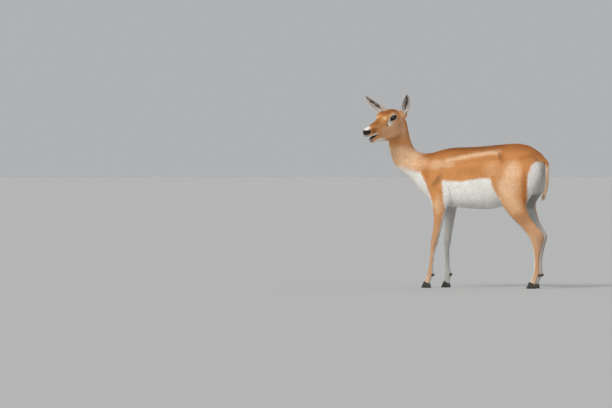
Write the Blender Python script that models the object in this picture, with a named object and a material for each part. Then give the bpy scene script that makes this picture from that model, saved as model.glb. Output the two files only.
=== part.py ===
# A life-size blackbuck doe, standing still with her head turned to her left.
# She faces -X, her left side is -Y, and the floor is the plane z = 0. All sizes are metres.
# The flesh is fused from lofted sections into one skin, which is then parted by thin cuts.

import math
import random

import bmesh
import bpy
from mathutils import Matrix, Vector

# Driving dimensions
up = Vector((0, 0, 1))
cut_gap = 0.0003  # space left between neighbouring pieces
cut_margin = 0.012  # each piece is thinned out this far past its cuts, then cut true
skin_voxel = 0.0022  # grid on which all the flesh is fused
elbow_cut = 0.372  # heights of the level cuts through the legs
knee_cut = 0.226
highest_leg_middle = 0.294
head_cut_drop = 0.030  # from the trunk row that the head is cut off below
fore_stride = 0.065  # how far the right fore hoof stands behind the left one
hind_stride = 0.024  # how far the right hind hoof stands ahead of the left one
elbow_height = 0.400
stifle_height = 0.370
stifle_blend = 0.130
toe_reach = 0.015  # how far the toes reach ahead of the pastern
heel_inset = 0.003  # how far the back of the sole stands ahead of the pastern's back
hoof_split = 0.0010
claw_fill = 0.96  # width of both claws of a hoof as a share of the pastern's
claw_swell = 0.0010
claw_roundness = 0.97  # keeps the two claws' inner faces just apart
claw_tapers = (0.45, 0.15)  # how much a claw narrows to its toe, at the sole and at its top
dewclaw_radii = Vector((0.0048, 0.0036, 0.0070))
dewclaw_lean = 0.5  # radians
dewclaw_offset = Vector((-0.0028, 0.0078, -0.0040))  # from the back of the fetlock

# Triangles left in each piece of skin
head_triangles = 3000
neck_triangles = 800
torso_triangles = 2600
limb_triangles = {"fore_upper": 360, "fore_lower": 400, "hind_upper": 400, "hind_lower": 420}
tail_triangles = 700
round_sides = 16  # of small round pieces and their sockets
dewclaw_sides = 10
trunk_sides = 40
head_sides = 32
leg_sides = 20
sharp_angle = math.radians(50)  # edges sharper than this are shaded as edges

# Sections are ovals; a power above 2 makes them boxier
trunk_power = 2.15
leg_power = 2.1
leg_egg = -0.05

# How the skin is smoothed where the pieces of flesh meet
smooth_rounds = 80
head_stiffness = 0.90  # the share of the smoothing that the head is spared
limb_stiffness = 0.965
stiff_above = 0.70  # the head's share grows over the next head_blend
head_blend = 0.05
stiff_below = 0.40
limb_blend = 0.10

# Head: its own frame has +X towards the nose, +Y to the animal's left, +Z up, from the nape.
head_origin = Vector((-0.394, -0.062, 0.800))
head_turn = math.radians(68)  # to her left, from straight ahead
head_droop = math.radians(12)
head_tilt = math.radians(6)
eye_radius = 0.0185
eye_centre = Vector((0.0800, 0.0335, 0.0385))
eye_axis = Vector((0.42, 0.89, 0.12)).normalized()
eye_along = Vector((1.0, 0.0, -0.22))
lid_thickness = 0.0034
orbit_sides = 24
eye_opening = (0.0178, 0.0128)  # half length and half height between the lids
eye_opening_depth = 0.016
tear_corner_place = Vector((0.0165, -0.0085, -0.0030))  # from a point under the cornea
tear_corner_height = 0.80  # that point's height as a share of the eye's radius
tear_corner_along = Vector((1.0, 0.0, -0.5))
tear_corner_radii = (0.0060, 0.0026, 0.012)
nostril_place = Vector((0.2405, 0.0115, 0.0015))
nostril_axis = Vector((0.75, 0.62, 0.10))
nostril_along = Vector((-0.35, 0.20, 0.90))
nostril_radii = (0.0058, 0.0028, 0.0075)
ear_length = 0.147  # from the root inside the head to the tip
ear_radius = 0.0205
ear_back_bow = 0.007
ear_lean = 0.55  # how far the cup moves forwards towards its tip, as a share of its radius
ear_tip_lean = 0.006
ear_flattening = 0.88  # depth of the cup as a share of its width
ear_columns = 8  # points across the ear, on each of its two faces
ear_least_wall = 0.0015
ear_start = 0.018  # the head carries the ear's root up to here
ear_root_radius = 0.0168
ear_root_taper = 0.76
ear_root_spare = 0.007  # the root is longer than needed by this, and cut off
ear_room = 0.025  # length and radius of the space cleared in the head for the ear
ear_room_radius = 0.0180
ear_base_radii = (0.016, 0.015, 0.017)
ear_front_offset = Vector((0.007, -0.010, 0.010))
ear_front_radii = (0.0155, 0.0155, 0.0150)
mouth_corner = Vector((0.170, 0.0, -0.0285))
mouth_top_front = Vector((0.255, 0.0, -0.0300))
mouth_bottom_front = Vector((0.255, 0.0, -0.0530))
mouth_corner_height = 0.0012
mouth_reach = 0.04  # half width of the wedge that opens the mouth

# Ears: root, direction and the way the cup faces, in the head's frame
ears = {
    "left": (Vector((0.005, 0.040, 0.034)), Vector((0.26, 0.48, 0.83)), Vector((0.90, 0.36, 0.10))),
    "right": (Vector((0.016, -0.050, 0.033)), Vector((0.41, -0.61, 0.68)), Vector((0.87, 0.49, -0.08))),
}
ear_side_bow = {"left": -0.001, "right": 0.012}  # how far each ear bows outwards

# Trunk and neck, head end first: x, y, z of the upper point, x, y, z of the lower point,
# half width, egg shape, and how far the section is turned to her left in degrees
trunk_rows = [
    (-0.388, -0.062, 0.826, -0.420, -0.105, 0.766, 0.030, 0.00, 52),
    (-0.370, -0.034, 0.806, -0.440, -0.080, 0.722, 0.036, 0.00, 42),
    (-0.361, -0.021, 0.754, -0.442, -0.069, 0.676, 0.037, 0.00, 34),
    (-0.348, -0.013, 0.701, -0.436, -0.055, 0.631, 0.039, 0.05, 27),
    (-0.326, -0.006, 0.660, -0.420, -0.038, 0.578, 0.045, 0.08, 19),
    (-0.286, -0.002, 0.647, -0.388, -0.022, 0.544, 0.053, 0.10, 11),
    (-0.238, 0.000, 0.651, -0.346, -0.008, 0.510, 0.063, 0.10, 4),
    (-0.186, 0.000, 0.666, -0.292, 0.000, 0.450, 0.076, 0.12, 0),
    (-0.129, 0.000, 0.675, -0.223, 0.000, 0.400, 0.087, 0.12, 0),
    (-0.067, 0.000, 0.677, -0.129, 0.000, 0.388, 0.095, 0.14, 0),
    (0.000, 0.000, 0.680, -0.031, 0.000, 0.380, 0.102, 0.14, 0),
    (0.067, 0.000, 0.686, 0.052, 0.000, 0.379, 0.104, 0.12, 0),
    (0.129, 0.000, 0.692, 0.124, 0.000, 0.396, 0.098, 0.06, 0),
    (0.192, 0.000, 0.695, 0.186, 0.000, 0.424, 0.088, 0.02, 0),
    (0.248, 0.000, 0.686, 0.243, 0.000, 0.443, 0.078, 0.00, 0),
    (0.292, 0.000, 0.662, 0.286, 0.000, 0.458, 0.062, 0.00, 0),
    (0.318, 0.000, 0.643, 0.306, 0.000, 0.485, 0.044, 0.00, 0),
    (0.332, 0.000, 0.622, 0.318, 0.000, 0.520, 0.026, 0.00, 0),
]
throat_row = 1  # the head is cut off a little below this row
shoulder_row = 5  # and the neck at this one

# Legs, from the body down: x, z of the front edge, x, z of the back edge, half width, y
fore_rows = [
    (-0.190, 0.630, -0.110, 0.640, 0.018, 0.040),
    (-0.232, 0.570, -0.112, 0.600, 0.028, 0.054),
    (-0.252, 0.505, -0.118, 0.530, 0.033, 0.061),
    (-0.243, 0.450, -0.122, 0.455, 0.031, 0.066),
    (-0.224, 0.405, -0.138, 0.403, 0.0270, 0.067),
    (-0.213, 0.365, -0.152, 0.365, 0.0225, 0.066),
    (-0.212, 0.326, -0.163, 0.326, 0.0190, 0.064),
    (-0.217, 0.278, -0.177, 0.278, 0.0160, 0.061),
    (-0.225, 0.240, -0.189, 0.240, 0.0170, 0.059),
    (-0.229, 0.218, -0.194, 0.217, 0.0170, 0.058),
    (-0.231, 0.188, -0.207, 0.187, 0.0118, 0.057),
    (-0.236, 0.134, -0.216, 0.133, 0.0098, 0.056),
    (-0.242, 0.096, -0.221, 0.094, 0.0102, 0.055),
    (-0.247, 0.074, -0.218, 0.066, 0.0132, 0.055),
    (-0.256, 0.048, -0.232, 0.036, 0.0115, 0.055),
    (-0.265, 0.032, -0.236, 0.018, 0.0142, 0.055),
    (-0.271, 0.022, -0.242, 0.008, 0.0142, 0.055),
]
hind_rows = [
    (0.150, 0.620, 0.292, 0.640, 0.030, 0.045),
    (0.114, 0.545, 0.334, 0.585, 0.044, 0.055),
    (0.106, 0.495, 0.332, 0.520, 0.047, 0.058),
    (0.118, 0.442, 0.306, 0.468, 0.042, 0.060),
    (0.134, 0.400, 0.264, 0.410, 0.036, 0.062),
    (0.167, 0.358, 0.266, 0.370, 0.0290, 0.062),
    (0.211, 0.314, 0.286, 0.329, 0.0225, 0.059),
    (0.249, 0.275, 0.318, 0.292, 0.0170, 0.056),
    (0.274, 0.240, 0.343, 0.264, 0.0155, 0.054),
    (0.283, 0.214, 0.347, 0.240, 0.0175, 0.053),
    (0.289, 0.185, 0.334, 0.195, 0.0140, 0.053),
    (0.294, 0.144, 0.324, 0.145, 0.0112, 0.052),
    (0.294, 0.100, 0.322, 0.099, 0.0110, 0.052),
    (0.291, 0.076, 0.326, 0.067, 0.0140, 0.052),
    (0.282, 0.049, 0.310, 0.037, 0.0120, 0.052),
    (0.273, 0.033, 0.305, 0.019, 0.0150, 0.052),
    (0.267, 0.023, 0.299, 0.009, 0.0150, 0.052),
]
coronet_row = -2  # the hooves start at this row
fetlock_row = -4

# What stands out under the skin on each side: name, centre, radii and lean in radians.
# Centres are given for the side where y is above 0.
muscles = [
    ("shoulder", (-0.212, 0.053, 0.520), (0.046, 0.026, 0.075), 0.45),
    ("elbow", (-0.150, 0.064, 0.420), (0.019, 0.015, 0.026), -0.3),
    ("haunch", (0.235, 0.062, 0.560), (0.085, 0.034, 0.075), 0.5),
    ("hip_bone", (0.168, 0.050, 0.645), (0.032, 0.020, 0.020), 0.0),
    ("stifle", (0.160, 0.066, 0.428), (0.030, 0.022, 0.034), -0.5),
]

# The same for the head, in its own frame, with the turn to the side in radians as well
head_masses = [
    ("cheek", (0.062, 0.0220, -0.0260), (0.052, 0.0155, 0.0380), 0.35, 0.0),
    ("cheek_bone", (0.108, 0.0265, 0.0120), (0.040, 0.0100, 0.0120), 0.30, -0.22),
    ("temple", (0.060, 0.0350, 0.0300), (0.036, 0.0130, 0.0200), 0.0, 0.0),
    ("brow", (0.090, 0.0325, 0.0520), (0.034, 0.0132, 0.0110), 0.22, -0.10),
    ("tear_bone", (0.103, 0.0285, 0.0360), (0.021, 0.0150, 0.0165), 0.0, 0.0),
    ("lip", (0.210, 0.0090, -0.0165), (0.024, 0.0100, 0.0105), 0.10, -0.16),
    ("nostril_rim", (0.232, 0.0105, 0.0030), (0.0115, 0.0085, 0.0095), 0.0, 0.0),
    ("lower_lip", (0.192, 0.0060, -0.0440), (0.018, 0.0075, 0.0085), 0.0, 0.0),
]

# Skull and upper jaw, then lower jaw: x, top z, bottom z, half width, egg, power
skull_rows = [
    (-0.012, 0.036, 0.002, 0.018, 0.0, 2.0),
    (0.002, 0.052, -0.018, 0.032, 0.0, 2.1),
    (0.030, 0.067, -0.034, 0.041, 0.0, 2.2),
    (0.060, 0.071, -0.044, 0.0445, 0.0, 2.3),
    (0.090, 0.066, -0.046, 0.0425, 0.0, 2.3),
    (0.115, 0.055, -0.044, 0.035, 0.05, 2.2),
    (0.140, 0.044, -0.040, 0.0275, 0.10, 2.2),
    (0.165, 0.035, -0.034, 0.0225, 0.12, 2.2),
    (0.190, 0.028, -0.030, 0.0195, 0.10, 2.2),
    (0.213, 0.021, -0.028, 0.0185, 0.05, 2.2),
    (0.234, 0.013, -0.027, 0.0170, 0.0, 2.3),
    (0.2455, 0.005, -0.022, 0.0120, 0.0, 2.2),
]
jaw_rows = [
    (0.012, -0.012, -0.044, 0.022, 0.0, 2.1),
    (0.030, -0.010, -0.068, 0.030, 0.0, 2.2),
    (0.055, -0.012, -0.079, 0.032, 0.0, 2.3),
    (0.085, -0.016, -0.078, 0.030, 0.0, 2.3),
    (0.120, -0.020, -0.071, 0.0245, 0.0, 2.2),
    (0.150, -0.024, -0.068, 0.0190, 0.0, 2.2),
    (0.178, -0.026, -0.067, 0.0155, 0.0, 2.1),
    (0.200, -0.026, -0.066, 0.0130, 0.0, 2.1),
    (0.213, -0.030, -0.059, 0.0080, 0.0, 2.0),
]

# Ear sections: height share, radius share, half opening angle in degrees, wall share
ear_rows = [
    (0.00, 0.66, 172, 0.75),
    (0.08, 0.72, 168, 0.58),
    (0.17, 0.86, 128, 0.24),
    (0.28, 0.98, 100, 0.14),
    (0.42, 1.00, 84, 0.11),
    (0.57, 0.98, 68, 0.10),
    (0.72, 0.90, 52, 0.10),
    (0.86, 0.78, 34, 0.11),
    (0.95, 0.66, 18, 0.12),
    (1.00, 0.60, 6, 0.12),
]

# Tail, from its root down: x, z, half depth, half width
dock_root = Vector((0.3360, 0.0, 0.6150))
dock_axis = Vector((1.0, 0.0, -0.25)).normalized()
dock_radius = 0.018
dock_cut_depth = 0.030
dock_stub_radius = 0.0115  # the stub on the croup that carries the tail
dock_stub_length = 0.036
dock_stub_inset = 0.010
dock_stub_taper = 0.85
tail_rows = [
    (0.3300, 0.6180, 0.0090, 0.0100),
    (0.3395, 0.6110, 0.0090, 0.0112),
    (0.3440, 0.5940, 0.0092, 0.0130),
    (0.3440, 0.5600, 0.0098, 0.0146),
    (0.3420, 0.5100, 0.0094, 0.0152),
    (0.3365, 0.4700, 0.0074, 0.0124),
    (0.3285, 0.4330, 0.0034, 0.0060),
]
tail_power = 2.1
tail_sides = 16
tail_voxel = 0.0012
tail_rounds = 3
tail_locks = 9
lock_length = 0.062
lock_thickness = 0.0042
lock_width = 0.0070
lock_sides = 8
lock_spread = 0.0070  # between the three columns of locks
lock_top = Vector((0.3440, 0.0, 0.540))  # roots of the first and the last lock
lock_bottom = Vector((0.3390, 0.0, 0.480))
lock_leans = (0.008, 0.024)  # how far the first and the last lock swing towards the legs
lock_profile = [(0.0, 0.75), (0.30, 1.0), (0.65, 0.85), (0.88, 0.50), (1.0, 0.10)]

coat_tan = (0.56, 0.30, 0.13, 1.0)
coat_fawn = (0.62, 0.42, 0.26, 1.0)
coat_pale = (0.72, 0.66, 0.60, 1.0)
ear_grey = (0.50, 0.42, 0.36, 1.0)
horn_black = (0.03, 0.027, 0.025, 1.0)
eye_dark = (0.015, 0.010, 0.008, 1.0)


def clear_scene():
    for item in list(bpy.data.objects):
        bpy.data.objects.remove(item, do_unlink=True)


def make_material(name, colour, roughness):
    finish = bpy.data.materials.new(name)
    finish.use_nodes = True
    shader = finish.node_tree.nodes["Principled BSDF"]
    shader.inputs["Base Color"].default_value = colour
    shader.inputs["Roughness"].default_value = roughness
    shader.inputs["Metallic"].default_value = 0.0
    return finish


def add_object(name, mesh):
    item = bpy.data.objects.new(name, mesh)
    bpy.context.scene.collection.objects.link(item)
    return item


def mesh_from(shape, name):
    mesh = bpy.data.meshes.new(name)
    shape.to_mesh(mesh)
    shape.free()
    return mesh


def spline_rows(rows, steps):
    """Catmull-Rom rows between the given rows of numbers, steps to each span."""
    result = []
    last = len(rows) - 1
    for i in range(last):
        before, start = rows[max(i - 1, 0)], rows[i]
        end, after = rows[i + 1], rows[min(i + 2, last)]
        for step in range(steps):
            t = step / steps
            row = []
            for p, q, r, s in zip(before, start, end, after):
                bend = (2 * p - 5 * q + 4 * r - s) * t * t + (3 * q - p - 3 * r + s) * t**3
                row.append(0.5 * (2 * q + (r - p) * t + bend))
            result.append(tuple(row))
    result.append(tuple(rows[last]))
    return result


def ring_loft(name, rings):
    """A closed solid through rings of equal length, capped flat at both ends."""
    shape = bmesh.new()
    loops = [[shape.verts.new(point) for point in ring] for ring in rings]
    count = len(loops[0])
    for low, high in zip(loops, loops[1:]):
        for i in range(count):
            j = (i + 1) % count
            shape.faces.new((low[i], low[j], high[j], high[i]))
    shape.faces.new(list(reversed(loops[0])))
    shape.faces.new(loops[-1])
    bmesh.ops.recalc_face_normals(shape, faces=shape.faces)
    return add_object(name, mesh_from(shape, name))


def oval(first, second, side, egg, power, count):
    """An oval from point first to point second, bulging along side on both flanks.

    egg above 0 is fuller towards second, and power above 2 is boxier.
    """
    middle, half = (first + second) / 2, (first - second) / 2
    ring = []
    for i in range(count):
        angle = 2 * math.pi * i / count
        c, s = math.cos(angle), math.sin(angle)
        c = math.copysign(abs(c) ** (2 / power), c)
        s = math.copysign(abs(s) ** (2 / power), s)
        ring.append(middle + half * c + side * s * (1 - egg * c))
    return ring


def ball(name, centre, radii, turn=(0, 0, 0), segments=round_sides):
    shape = bmesh.new()
    bmesh.ops.create_uvsphere(shape, u_segments=segments, v_segments=segments // 2, radius=1)
    mesh = mesh_from(shape, name)
    spin = Matrix.Rotation(turn[2], 4, "Z") @ Matrix.Rotation(turn[1], 4, "Y")
    spin = spin @ Matrix.Rotation(turn[0], 4, "X")
    mesh.transform(Matrix.Translation(centre) @ spin @ Matrix.Diagonal((*radii, 1)))
    return add_object(name, mesh)


def disc(name, centre, axis, radius, thickness, taper=1.0):
    """A round plate or a cone frustum, narrower along its axis where taper is below 1."""
    shape = bmesh.new()
    bmesh.ops.create_cone(
        shape,
        cap_ends=True,
        segments=20,
        radius1=radius,
        radius2=radius * taper,
        depth=thickness,
    )
    mesh = mesh_from(shape, name)
    spin = Vector(axis).normalized().to_track_quat("Z", "Y").to_matrix().to_4x4()
    mesh.transform(Matrix.Translation(centre) @ spin)
    return add_object(name, mesh)


def lens(name, centre, axis, along, radii):
    """A lens-shaped cutter: radii along its length, across it, and along its axis."""
    axis = axis.normalized()
    along = (along - axis * along.dot(axis)).normalized()
    frame = Matrix((along, axis.cross(along), axis)).transposed().to_4x4()
    item = ball(name, Vector(), radii)
    item.data.transform(Matrix.Translation(centre) @ frame)
    return item


def join_pieces(name, pieces):
    shape = bmesh.new()
    for piece in pieces:
        shape.from_mesh(piece.data)
        bpy.data.objects.remove(piece, do_unlink=True)
    return add_object(name, mesh_from(shape, name))


def apply_modifiers(item):
    bpy.context.view_layer.update()
    graph = bpy.context.evaluated_depsgraph_get()
    mesh = bpy.data.meshes.new_from_object(item.evaluated_get(graph))
    item.modifiers.clear()
    item.data = mesh
    return item


def fuse(name, pieces, voxel, softness, rounds):
    """One skin round overlapping pieces, smoothed by the share softness(point) gives."""
    item = join_pieces(name, pieces)
    remesh = item.modifiers.new("one_skin", "REMESH")
    remesh.mode = "VOXEL"
    remesh.voxel_size = voxel
    apply_modifiers(item)
    group = item.vertex_groups.new(name="soft")
    for vertex in item.data.vertices:
        group.add([vertex.index], softness(vertex.co), "REPLACE")
    smooth = item.modifiers.new("blend", "SMOOTH")
    smooth.factor = 0.5
    smooth.iterations = rounds
    smooth.vertex_group = "soft"
    apply_modifiers(item)
    item.vertex_groups.clear()
    return item


def thin_out(item, triangles):
    """Collapse edges until about that many triangles are left."""
    shape = bmesh.new()
    shape.from_mesh(item.data)
    bmesh.ops.triangulate(shape, faces=shape.faces)
    now = len(shape.faces)
    shape.to_mesh(item.data)
    shape.free()
    decimate = item.modifiers.new("thin_out", "DECIMATE")
    decimate.ratio = min(1.0, triangles / now)
    return apply_modifiers(item)


def keep_side(item, point, normal):
    """Cut flat at the plane, keep what lies on the normal's side, and close the cut."""
    shape = bmesh.new()
    shape.from_mesh(item.data)
    everything = shape.verts[:] + shape.edges[:] + shape.faces[:]
    result = bmesh.ops.bisect_plane(
        shape,
        geom=everything,
        dist=1e-7,
        plane_co=point,
        plane_no=normal,
        clear_inner=True,
    )
    rim = [part for part in result["geom_cut"] if isinstance(part, bmesh.types.BMEdge)]
    bmesh.ops.triangle_fill(shape, use_beauty=True, edges=rim)
    bmesh.ops.recalc_face_normals(shape, faces=shape.faces)
    shape.to_mesh(item.data)
    shape.free()
    return item


def split_at(item, point, normal, margin):
    """Two copies of item: what lies on the normal's side, and the rest, margin beyond both."""
    normal = normal.normalized()
    other = add_object(item.name + "_rest", item.data.copy())
    keep_side(item, point - normal * margin, normal)
    keep_side(other, point + normal * margin, -normal)
    return item, other


def subtract(item, cutter):
    cut = item.modifiers.new("cut", "BOOLEAN")
    cut.operation = "DIFFERENCE"
    cut.solver = "EXACT"
    cut.object = cutter
    apply_modifiers(item)
    bpy.data.objects.remove(cutter, do_unlink=True)
    return item


def loose_pieces(item):
    """The separate closed surfaces of an object's mesh, largest first, as new objects."""
    shape = bmesh.new()
    shape.from_mesh(item.data)
    shape.verts.index_update()
    left = set(shape.verts)
    islands = []
    for start in shape.verts:
        if start not in left:
            continue
        left.discard(start)
        island, found = [start], [start]
        while found:
            vertex = found.pop()
            for edge in vertex.link_edges:
                other = edge.other_vert(vertex)
                if other in left:
                    left.discard(other)
                    island.append(other)
                    found.append(other)
        islands.append(sorted(island, key=lambda v: v.index))
    islands.sort(key=len, reverse=True)
    pieces = []
    for island in islands:
        part = bmesh.new()
        copies = {vertex: part.verts.new(vertex.co) for vertex in island}
        faces = {face for vertex in island for face in vertex.link_faces}
        for face in sorted(faces, key=lambda f: f.index):
            part.faces.new([copies[vertex] for vertex in face.verts])
        pieces.append(add_object("piece", mesh_from(part, "piece")))
    shape.free()
    bpy.data.objects.remove(item, do_unlink=True)
    return pieces


def largest_piece(item):
    name = item.name
    pieces = loose_pieces(item)
    for piece in pieces[1:]:
        bpy.data.objects.remove(piece, do_unlink=True)
    pieces[0].name = name
    return pieces[0]


def middle_of(item):
    total = Vector()
    for vertex in item.data.vertices:
        total += vertex.co
    return total / len(item.data.vertices)


def finish_piece(item, name, material):
    item.name = name
    item.data.name = name
    item.data.materials.clear()
    item.data.materials.append(material)
    item.data.shade_smooth()
    item.data.set_sharp_from_angle(angle=sharp_angle)
    return item


def mirrored(vector, side):
    return Vector((vector[0], side * vector[1], vector[2]))


def trunk_solid():
    rings = []
    for row in spline_rows(trunk_rows, 4):
        turn = math.radians(row[8])
        side = Vector((math.sin(turn), -math.cos(turn), 0)) * row[6]
        high, low = Vector(row[0:3]), Vector(row[3:6])
        rings.append(oval(high, low, side, row[7], trunk_power, trunk_sides))
    return ring_loft("trunk", rings)


def fore_swing(side, z):
    """The right foreleg stands back from the elbow down."""
    if side < 0 or z > elbow_height:
        return 0.0
    return fore_stride * (1 - z / elbow_height) ** 1.4


def hind_swing(side, z):
    """The right hind leg stands further under the body from the stifle down."""
    if side < 0:
        return 0.0
    share = min(max((stifle_height - z) / stifle_blend, 0.0), 1.0)
    return -hind_stride * share * share * (3 - 2 * share)


legs = {"fore": (fore_rows, fore_swing), "hind": (hind_rows, hind_swing)}


def leg_edges(row, side, swing):
    """The front and back edge points of one leg row."""
    fx, fz, bx, bz, _, y = row
    shift = swing(side, (fz + bz) / 2)
    return Vector((fx + shift, side * y, fz)), Vector((bx + shift, side * y, bz))


def leg_solid(name, rows, side, swing):
    rings = []
    for row in spline_rows(rows, 3):
        front, back = leg_edges(row, side, swing)
        across = Vector((0, row[4], 0))
        rings.append(oval(front, back, across, leg_egg, leg_power, leg_sides))
    return ring_loft(name, rings)


def muscle_solids(side):
    pieces = []
    for name, centre, radii, lean in muscles:
        pieces.append(ball(name, mirrored(centre, side), radii, (0, lean, 0)))
    return pieces


def dewclaw_places(kind, side):
    rows, swing = legs[kind]
    _, back = leg_edges(rows[fetlock_row], side, swing)
    return [back + mirrored(dewclaw_offset, share) for share in (-1, 1)]


def head_matrix():
    turn = Matrix.Rotation(math.pi + head_turn, 4, "Z")
    droop = Matrix.Rotation(head_droop, 4, "Y")
    tilt = Matrix.Rotation(-head_tilt, 4, "X")
    return Matrix.Translation(head_origin) @ turn @ droop @ tilt


def profile_solid(name, rows):
    rings = []
    for x, top, bottom, half_width, egg, power in spline_rows(rows, 3):
        high, low = Vector((x, 0, top)), Vector((x, 0, bottom))
        rings.append(oval(high, low, Vector((0, half_width, 0)), egg, power, head_sides))
    return ring_loft(name, rings)


def ear_root_solid(side_name):
    """The tube that carries the ear, a little longer than where the ear is cut off."""
    root, direction, _ = ears[side_name]
    axis = direction.normalized()
    outer = ear_start + ear_root_spare
    middle = root + axis * outer / 2
    return disc("ear_root", middle, axis, ear_root_radius, outer, ear_root_taper)


def head_pieces():
    pieces = [profile_solid("skull", skull_rows), profile_solid("jaw", jaw_rows)]
    orbit_radii = (eye_radius + lid_thickness,) * 3
    for side, side_name in ((1, "left"), (-1, "right")):
        for name, centre, radii, lean, turn in head_masses:
            pieces.append(ball(name, mirrored(centre, side), radii, (0, lean, side * turn)))
        eye = mirrored(eye_centre, side)
        pieces.append(ball("orbit", eye, orbit_radii, segments=orbit_sides))
        ear_root = ears[side_name][0]
        pieces.append(ball("ear_base", ear_root, ear_base_radii))
        ear_front = ear_root + mirrored(ear_front_offset, side)
        pieces.append(ball("ear_front", ear_front, ear_front_radii))
        pieces.append(ear_root_solid(side_name))
    for piece in pieces:
        piece.data.transform(head_matrix())
    return pieces


def cut_plane(row, drop):
    """The plane of a trunk row, drop further from the head; its normal points to the head."""
    numbers = trunk_rows[row]
    high, low = Vector(numbers[0:3]), Vector(numbers[3:6])
    turn = math.radians(numbers[8])
    side = Vector((math.sin(turn), -math.cos(turn), 0))
    normal = side.cross(high - low).normalized()
    if normal.z < 0:
        normal = -normal
    return (high + low) / 2 - normal * drop, normal


def softness(point):
    """Full blending on the trunk, little on the head, and next to none on thin limbs."""
    head_share = min(max((point.z - stiff_above) / head_blend, 0.0), 1.0)
    limb_share = min(max((stiff_below - point.z) / limb_blend, 0.0), 1.0)
    return 1.0 - head_stiffness * head_share - limb_stiffness * limb_share


def all_flesh():
    pieces = [trunk_solid()]
    for side in (-1, 1):
        for kind, (rows, swing) in legs.items():
            pieces.append(leg_solid(kind + "_leg", rows, side, swing))
        pieces += muscle_solids(side)
    middle = dock_root - dock_axis * dock_stub_inset
    stub = disc("dock", middle, dock_axis, dock_stub_radius, dock_stub_length, dock_stub_taper)
    pieces.append(stub)
    return fuse("flesh", pieces + head_pieces(), skin_voxel, softness, smooth_rounds)


def mouth_cutter():
    """A wedge across the muzzle, closed at the corner of the mouth."""
    low_corner = mouth_corner - up * mouth_corner_height
    outline = [mouth_corner, mouth_top_front, mouth_bottom_front, low_corner]
    rings = []
    for y in (-mouth_reach, mouth_reach):
        rings.append([point + Vector((0, y, 0)) for point in outline])
    return ring_loft("mouth_cutter", rings)


def eye_cutters(side):
    """The socket that holds the eyeball, the opening between the lids, and its front corner."""
    axis = mirrored(eye_axis, side)
    centre = mirrored(eye_centre, side)
    outward = centre + axis * (eye_radius + lid_thickness)
    corner = centre + axis * eye_radius * tear_corner_height
    corner += mirrored(tear_corner_place, side)
    return [
        ball("socket", centre, (eye_radius + cut_gap,) * 3),
        lens("lid_opening", outward, axis, eye_along, (*eye_opening, eye_opening_depth)),
        lens("tear_corner", corner, axis, tear_corner_along, tear_corner_radii),
    ]


def nostril_cutter(side):
    centre = mirrored(nostril_place, side)
    axis = mirrored(nostril_axis, side)
    return lens("nostril", centre, axis, mirrored(nostril_along, side), nostril_radii)


def head_cutters():
    cutters = [mouth_cutter()]
    for side, side_name in ((1, "left"), (-1, "right")):
        cutters += eye_cutters(side)
        cutters.append(nostril_cutter(side))
        root, direction, _ = ears[side_name]
        centre = root + direction.normalized() * (ear_start - cut_gap + ear_room / 2)
        cutters.append(disc("ear_room", centre, direction, ear_room_radius, ear_room))
    for cutter in cutters:
        cutter.data.transform(head_matrix())
    return cutters


def ear_frame(side_name):
    """Matrix of an ear: +Z along it from the root, +X out of its cup."""
    root, direction, facing = ears[side_name]
    along = direction.normalized()
    out = (facing - along * facing.dot(along)).normalized()
    turn = Matrix((out, along.cross(out), along)).transposed().to_4x4()
    return Matrix.Translation(root) @ turn


def ear_solid(side, side_name):
    rings = []
    for share, radius_share, opening, wall_share in spline_rows(ear_rows, 2):
        radius = ear_radius * radius_share
        wall = max(radius * wall_share, ear_least_wall)
        z = ear_start + share * (ear_length - ear_start)
        # the ear bows backwards and outwards, and its tip leans forwards
        bow = math.sin(math.pi * share)
        lean = ear_lean * radius * share + ear_tip_lean * share * share - ear_back_bow * bow
        ring = []
        for layer in (0, 1):
            reach = radius - wall * layer
            for i in range(ear_columns):
                j = i if layer == 0 else ear_columns - 1 - i
                angle = math.radians(opening) * (2 * j / (ear_columns - 1) - 1)
                x = lean - reach * math.cos(angle) * ear_flattening
                y = side * ear_side_bow[side_name] * bow + reach * math.sin(angle)
                ring.append(Vector((x, y, z)))
        rings.append(ring)
    item = ring_loft("ear", rings)
    item.data.transform(head_matrix() @ ear_frame(side_name))
    return item


def coronet(kind, side):
    """Front and back of the cut between leg and hoof, and the direction up out of it."""
    rows, swing = legs[kind]
    front, back = leg_edges(rows[coronet_row], side, swing)
    along = (front - back).normalized()
    return front, back, Vector((along.z, 0, -along.x))


def hoof_claw(kind, side, share):
    """One half of a cloven hoof, on a flat sole at z = 0 under the cut of the pastern."""
    front, back, above = coronet(kind, side)
    front, back = front - above * cut_gap, back - above * cut_gap
    pastern_half_width = legs[kind][0][coronet_row][4]
    half_width = (pastern_half_width * claw_fill - hoof_split / 2) / 2
    inner = front.y + share * hoof_split / 2
    heel, toe = back.x + heel_inset, front.x - toe_reach
    levels, sides = 4, 14
    rings = []
    for step in range(levels):
        t = step / (levels - 1)  # 0 at the sole
        swell = math.sin(math.pi * t) * claw_swell
        taper = claw_tapers[0] + (claw_tapers[1] - claw_tapers[0]) * t
        ring = []
        for i in range(sides):
            angle = 2 * math.pi * i / sides
            c, s = math.cos(angle), math.sin(angle)
            along = (1 + c) / 2  # 0 at the heel, 1 at the toe
            point = back.lerp(front, along)
            sole_x = heel + (toe - heel) * along
            x = sole_x + (point.x - sole_x) * t
            z = point.z * t
            width = half_width * (1 - taper * along * along)
            y = inner + share * (width * (1 + s * claw_roundness) + swell * (1 + s) / 2)
            ring.append(Vector((x, y, z)))
        rings.append(ring)
    return ring_loft("claw", rings)


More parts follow.
